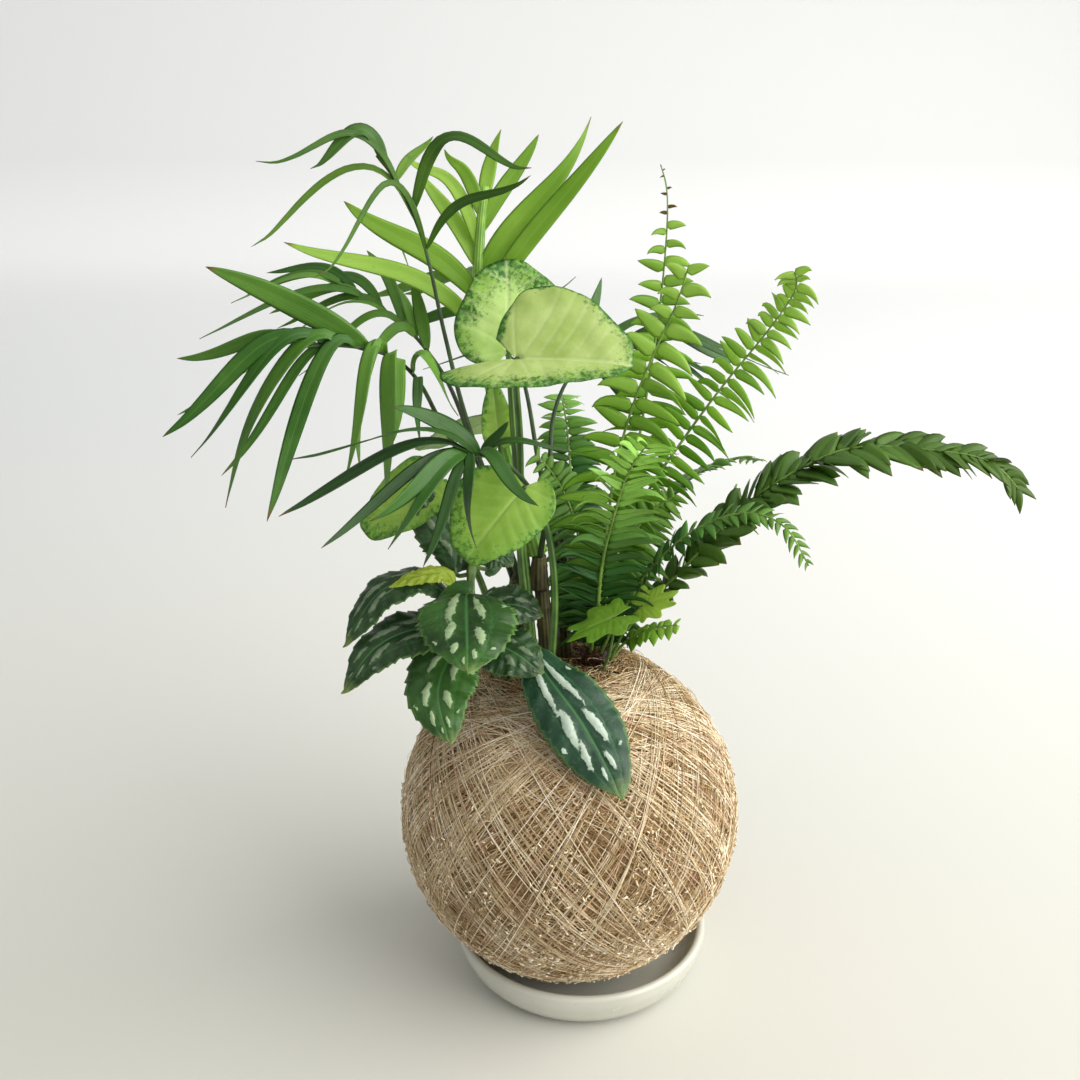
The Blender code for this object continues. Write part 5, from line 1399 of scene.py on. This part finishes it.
for name, leaf in ARROW_LEAVES.items():
    arrow_leaf(name, **leaf)

# %% [markdown]
# ## The aluminium plant
# Its leaves are dark green, toothed and quilted: between the three main veins the blade swells into
# pads, and the crest of each pad is silver. A table gives each pad as a spindle in leaf numbers, where
# it lies along and across and how long and wide it is. One field made from the spindles lifts the
# surface, and the material turns the same field silver, with noise to tear its edge.

# %% Aluminium plant finishes
def pilea_finish(name, dark, light, silver_tone, share):
    """Dark green with silver pads, a paler toothed margin and yellow-green young edges."""
    made = Recipe(name)
    along, across, _ = made.growth()
    pad = made.mark()
    cloud = made.noise(60.0, 4.0)
    grain = made.noise(520.0, 4.0, 0.65)
    torn = made.noise(420.0, 5.0, 0.7, distortion=0.6)
    green = made.blend(made.span(cloud, 0.3, 0.7), tone(dark), tone(light))
    green = made.blend(made.span(grain, 0.55, 0.75, 0.0, 0.4), green, tone("4f7a52"))
    width = made.maths("ABSOLUTE", across)
    green = made.blend(made.span(width, 0.0, 0.05, 0.75, 0.0), green, tone("4f8a4a"))
    side_vein = made.maths("ABSOLUTE", made.maths("SUBTRACT", width, 0.5))
    green = made.blend(made.span(side_vein, 0.0, 0.03, 0.45, 0.0), green, tone("3f7a45"))
    green = made.blend(made.span(width, 0.9, 1.0, 0.0, 0.6), green, tone("6f9a4a"))
    green = made.blend(made.span(made.maths("ADD", along, made.maths("MULTIPLY", grain, 0.1)), 0.93, 1.04,
                                 0.0, 0.35), green, tone("a4b866"))
    silver = made.span(made.maths("ADD", made.maths("MULTIPLY", pad, 1.6), made.maths("MULTIPLY", torn, 1.5)),
                       0.98, 1.2)
    flecks = made.maths("MULTIPLY", silver, made.span(grain, 0.25, 0.5, 0.6 * share, share))
    colour = made.blend(flecks, green, tone(silver_tone))
    made.bump(made.maths("ADD", grain, made.maths("MULTIPLY", silver, 0.6)), 0.00025, 0.6)
    made.finish(colour, made.span(grain, 0.3, 0.7, 0.3, 0.48), Specular_IOR_Level=0.38)
    made.glow(made.blend(0.5, colour, tone("3f8a2a")), 0.10)
    return made.material


pilea_teal = pilea_finish("pilea_leaf_teal", "12301e", "2c5238", "c2d2c0", 0.9)
pilea_green = pilea_finish("pilea_leaf_green", "183410", "42702a", "abc294", 0.85)
pilea_dull = pilea_finish("pilea_leaf_dull", "142e10", "304e26", "8ba07e", 0.5)
pilea_stalk = stem_finish("pilea_stem", "2f4a1c", "6d8a3c", 120.0, 4.0)
yellow_leaf = leaf_finish("pilea_leaf_yellow", "628c20", "a8bc40", "c6e040", 0.35, 3.0)
young_leaf = leaf_finish("young_leaf", "629226", "a6c64c", "b4cc50", 0.4, 4.0)

# %% Toothed leaves
PADS = (
    (0.29, 0.30, 0.23, 0.12), (0.57, 0.35, 0.12, 0.15), (0.75, 0.40, 0.08, 0.14), (0.88, 0.22, 0.04, 0.09),
    (0.33, -0.27, 0.23, 0.12), (0.64, -0.31, 0.13, 0.15), (0.83, -0.24, 0.07, 0.11),
    (0.22, 0.76, 0.03, 0.05), (0.66, 0.78, 0.03, 0.05), (0.30, -0.78, 0.03, 0.05), (0.76, -0.70, 0.03, 0.05),
)
TEETH = 13
LEAF_SECTIONS = 105
LEAF_SLICES = 31


def pad_field(u, v, word, amount):
    """The pads as one field: 1 in the middle of a spindle, 0 at its edge, by 1 minus the distance d in
    spindles, d^1.5 = |along|^1.5 + |aside|^1.5, taken where it is largest. The inner pads lean out
    towards the tip. Each leaf moves and scales its pads a little by chance."""
    throw = dice(word)
    field = np.zeros(np.broadcast(u, v).shape)
    for middle, aside, long, wide in PADS:
        middle = middle + throw.normal(0.0, 0.012)
        long, wide = long * throw.uniform(0.85, 1.2), wide * throw.uniform(0.85, 1.15)
        lean = 0.35 if abs(aside) < 0.5 else 0.0
        slant = aside * (1.0 + lean * np.clip((u - middle) / long, -1.0, 1.0))
        far = (np.abs((u - middle) / long) ** 1.5 + np.abs((v - slant) / wide) ** 1.5) ** (1.0 / 1.5)
        field = np.maximum(field, 1.0 - far)
    return field * amount


def toothed_width(u, teeth, depth, belly):
    """Half width along a leaf: sin(pi u^belly)^0.72, with teeth that lean to the tip: each rises as the
    share of its pitch to the power 1.6 and drops back at once. A small belly puts the widest part
    near the base, a large one near the tip."""
    body = np.clip(np.sin(pi * np.clip(u, 0.0, 1.0) ** belly), 0.0, None) ** 0.72
    saw = ((u * teeth) % 1.0) ** 1.6
    return np.maximum(body * (1.0 - depth + depth * 1.6 * saw), 0.01)


def toothed_leaf(body, word, path, facing, half, bare, pads=1.0, teeth=TEETH, depth=0.06, fold=0.08,
                 quilt=0.9, curl=0.22, wave=0.07, stem=0.8, belly=0.82):
    """One leaf blade on a path, and its stalk, added to a body."""
    throw = dice(word)
    u = np.linspace(0.0, 1.0, LEAF_SECTIONS)
    share = bare * 0.9 + (1.0 - bare * 0.9) * u
    v = np.linspace(-1.0, 1.0, LEAF_SLICES)
    field = pad_field(u[:, None], v[None], word, 1.0)
    lifted = np.clip(field, 0.0, None) ** 0.6 * quilt * MM
    grooves = 0.35 * MM * (np.exp(-(v / 0.05) ** 2) + 0.7 * np.exp(-((np.abs(v) - 0.5) / 0.05) ** 2))
    ripples = 2.0 * pi * 3.4 * u[:, None] + throw.uniform(0.0, 6.0) + 2.0 * (v > 0)
    ruffle = wave * half * v ** 2 * np.sin(ripples)
    pucker = 0.28 * MM * np.sin(2.0 * pi * (8.0 * u[:, None] - 1.1 * np.abs(v))) * np.abs(v) ** 0.5
    fade = np.sin(pi * np.clip(u, 0.02, 0.98))[:, None] ** 0.5
    relief = (lifted - grooves * quilt + pucker + ruffle) * fade
    left = half * toothed_width(u, teeth, depth, belly)
    right = half * toothed_width(u + 0.4 / teeth, teeth, depth, belly)
    rings, across = blades(path.at(share)[None], path.heading(share)[None], facing, left[None],
                           right[None], LEAF_SLICES, 0.45 * MM, fold, curl, 0.0, relief[None])
    body.add(rings, across=across, chance=throw.uniform(), mark=on_top(field * pads, LEAF_SLICES)[None])
    body.add(stalk(path, lambda s: stem * (1.1 - 0.5 * s) * MM, 9, 24, facing, 0.0, bare + 0.04),
             across=round_marks(9), finish=1)


# %% Aluminium plant
PILEA_STEM = ((-28, -3, 0), (-37, -9, 150), (-43, -13, 168), (-44, -14, 183), (-43, -10, 194))
PILEA_STEM_RADIUS = 1.8 * MM
LEAF_REACH = 4.0 * MM
PILEA_LEAVES = {
    "pilea_leaf_front": dict(
        leaves_at=0.76, route=((-45, -26, 184), (-44, -44, 178), (-43, -60, 169)),
        facing=(0.0, -0.5, 0.85), half_width=19, bare=0.16),
    "pilea_leaf_left": dict(
        leaves_at=0.72, route=((-62, -17, 187), (-78, -24, 184), (-91, -33, 166)),
        facing=(0.0, -0.25, 0.95), half_width=9.5, bare=0.14),
    "pilea_leaf_left_low": dict(
        leaves_at=0.52, route=((-60, -26, 171), (-78, -34, 167), (-91, -43, 152)),
        facing=(-0.1, -0.5, 0.85), half_width=11, bare=0.14),
    "pilea_leaf_low": dict(
        leaves_at=0.44, route=((-50, -30, 162), (-55, -46, 154), (-50, -60, 140)),
        facing=(-0.1, -0.75, 0.65), half_width=14, bare=0.22),
    "pilea_leaf_under": dict(
        leaves_at=0.36, route=((-34, -21, 161), (-26, -27, 160), (-16, -31, 153)),
        facing=(0.0, -0.6, 0.8), half_width=12, bare=0.16),
    "pilea_leaf_upright": dict(
        leaves_at=0.88, route=((-50, -7, 197), (-57, -7, 208), (-62, -6, 220)),
        facing=(0.1, -0.9, 0.4), half_width=12, bare=0.14),
    "pilea_leaf_yellow": dict(
        leaves_at=0.82, route=((-54, -18, 189.5), (-64, -22, 190), (-74, -25, 187)),
        facing=(0.0, -0.5, 0.87), half_width=4.2, bare=0.14),
    "pilea_leaf_right": dict(
        leaves_at=0.93, route=((-37, -9, 194), (-32, -10, 193), (-28, -11, 189)),
        facing=(0.0, -0.7, 0.7), half_width=7, bare=0.2),
    "pilea_leaf_right_low": dict(
        leaves_at=0.56, route=((-34, -12, 173), (-26, -13, 174), (-16, -13, 169)),
        facing=(0.0, -0.6, 0.8), half_width=10, bare=0.12),
}
DULL_LEAVES = ("pilea_leaf_left", "pilea_leaf_right", "pilea_leaf_left_low", "pilea_leaf_under",
               "pilea_leaf_upright", "pilea_leaf_right_low")

pilea_route = Route(rooted(PILEA_STEM))


def knuckled(shares):
    """The stem's radius: swollen where a pair of leaves stands."""
    knots = sum(np.exp(-((shares - k) / 0.03) ** 2) for k in (0.36, 0.54, 0.74, 0.9))
    return PILEA_STEM_RADIUS * (1.0 + 0.22 * knots - 0.15 * shares)


stem = Body()
stem.add(stalk(pilea_route, knuckled, 12, 90), across=round_marks(12))
stem.piece("pilea_stem_knuckled", ["pilea_stem"], [pilea_stalk])

for name, leaf in PILEA_LEAVES.items():
    outer = millimetres(leaf["route"])
    heading = pilea_route.heading(leaf["leaves_at"])
    way = outer[0] - pilea_route.at(leaf["leaves_at"])
    way = unit(way - heading * (way @ heading))
    start = pilea_route.at(leaf["leaves_at"]) + way * PILEA_STEM_RADIUS * 0.6
    first = pilea_route.at(leaf["leaves_at"]) + way * (PILEA_STEM_RADIUS + GAP + LEAF_REACH)
    path = Route(np.vstack([start, first, outer]))
    blade = Body()
    young = name == "pilea_leaf_yellow"
    finish = yellow_leaf if young else pilea_dull if name in DULL_LEAVES else pilea_green
    toothed_leaf(blade, name, path, unit(leaf["facing"]), leaf["half_width"] * MM, leaf["bare"])
    blade.piece(name + "_quilted", [name], [finish, pilea_stalk])

# %% Leaves that stand in the soil
SOIL_LEAVES = {
    "pilea_leaf_hanging": dict(
        route=((-19, -9, 0), (-20, -13, 152), (-21, -18, 157), (-14.5, -32, 153), (-2.5, -46, 142),
               (8, -56, 126), (12, -62, 118)),
        facing=(0.0, -0.75, 0.65), half_width=14.7, bare=0.2),
}
YOUNG_LEAVES = {
    "young_leaf_right": dict(
        petiole=((5, -5, 0), (9, -10, 150), (11, -12, 163)),
        notch=(11, -13, 169), tip=(-6, -18, 164), facing=(0.0, -0.5, 0.85), half_width=7,
        lobe=1.2, jag=0.16, fold=0.15, stem=0.5, look="young"),
    "young_leaf_far_right": dict(
        petiole=((9, 2, 0), (13, 0, 150), (19, -4, 166)),
        notch=(22, -5, 170), tip=(34, -7, 176), facing=(-0.3, -0.6, 0.8), half_width=7,
        lobe=0.5, jag=0.16, fold=0.2, stem=0.5, look="young"),
}

for name, leaf in SOIL_LEAVES.items():
    points = rooted(leaf["route"])
    path = Route(np.vstack([points[0], points[0] + (0.0, 0.0, 2.0 * MM), points[1:]]))
    blade = Body()
    outward, half = unit(leaf["facing"]), leaf["half_width"] * MM
    toothed_leaf(blade, name, path, outward, half, leaf["bare"], pads=1.15, teeth=17, depth=0.04,
                 belly=1.3)
    blade.piece(name + "_quilted", [name], [pilea_teal, pilea_stalk])

ARROW_LOOKS["young"] = young_leaf
for name, leaf in YOUNG_LEAVES.items():
    arrow_leaf(name, **leaf, slot="young_leaf")
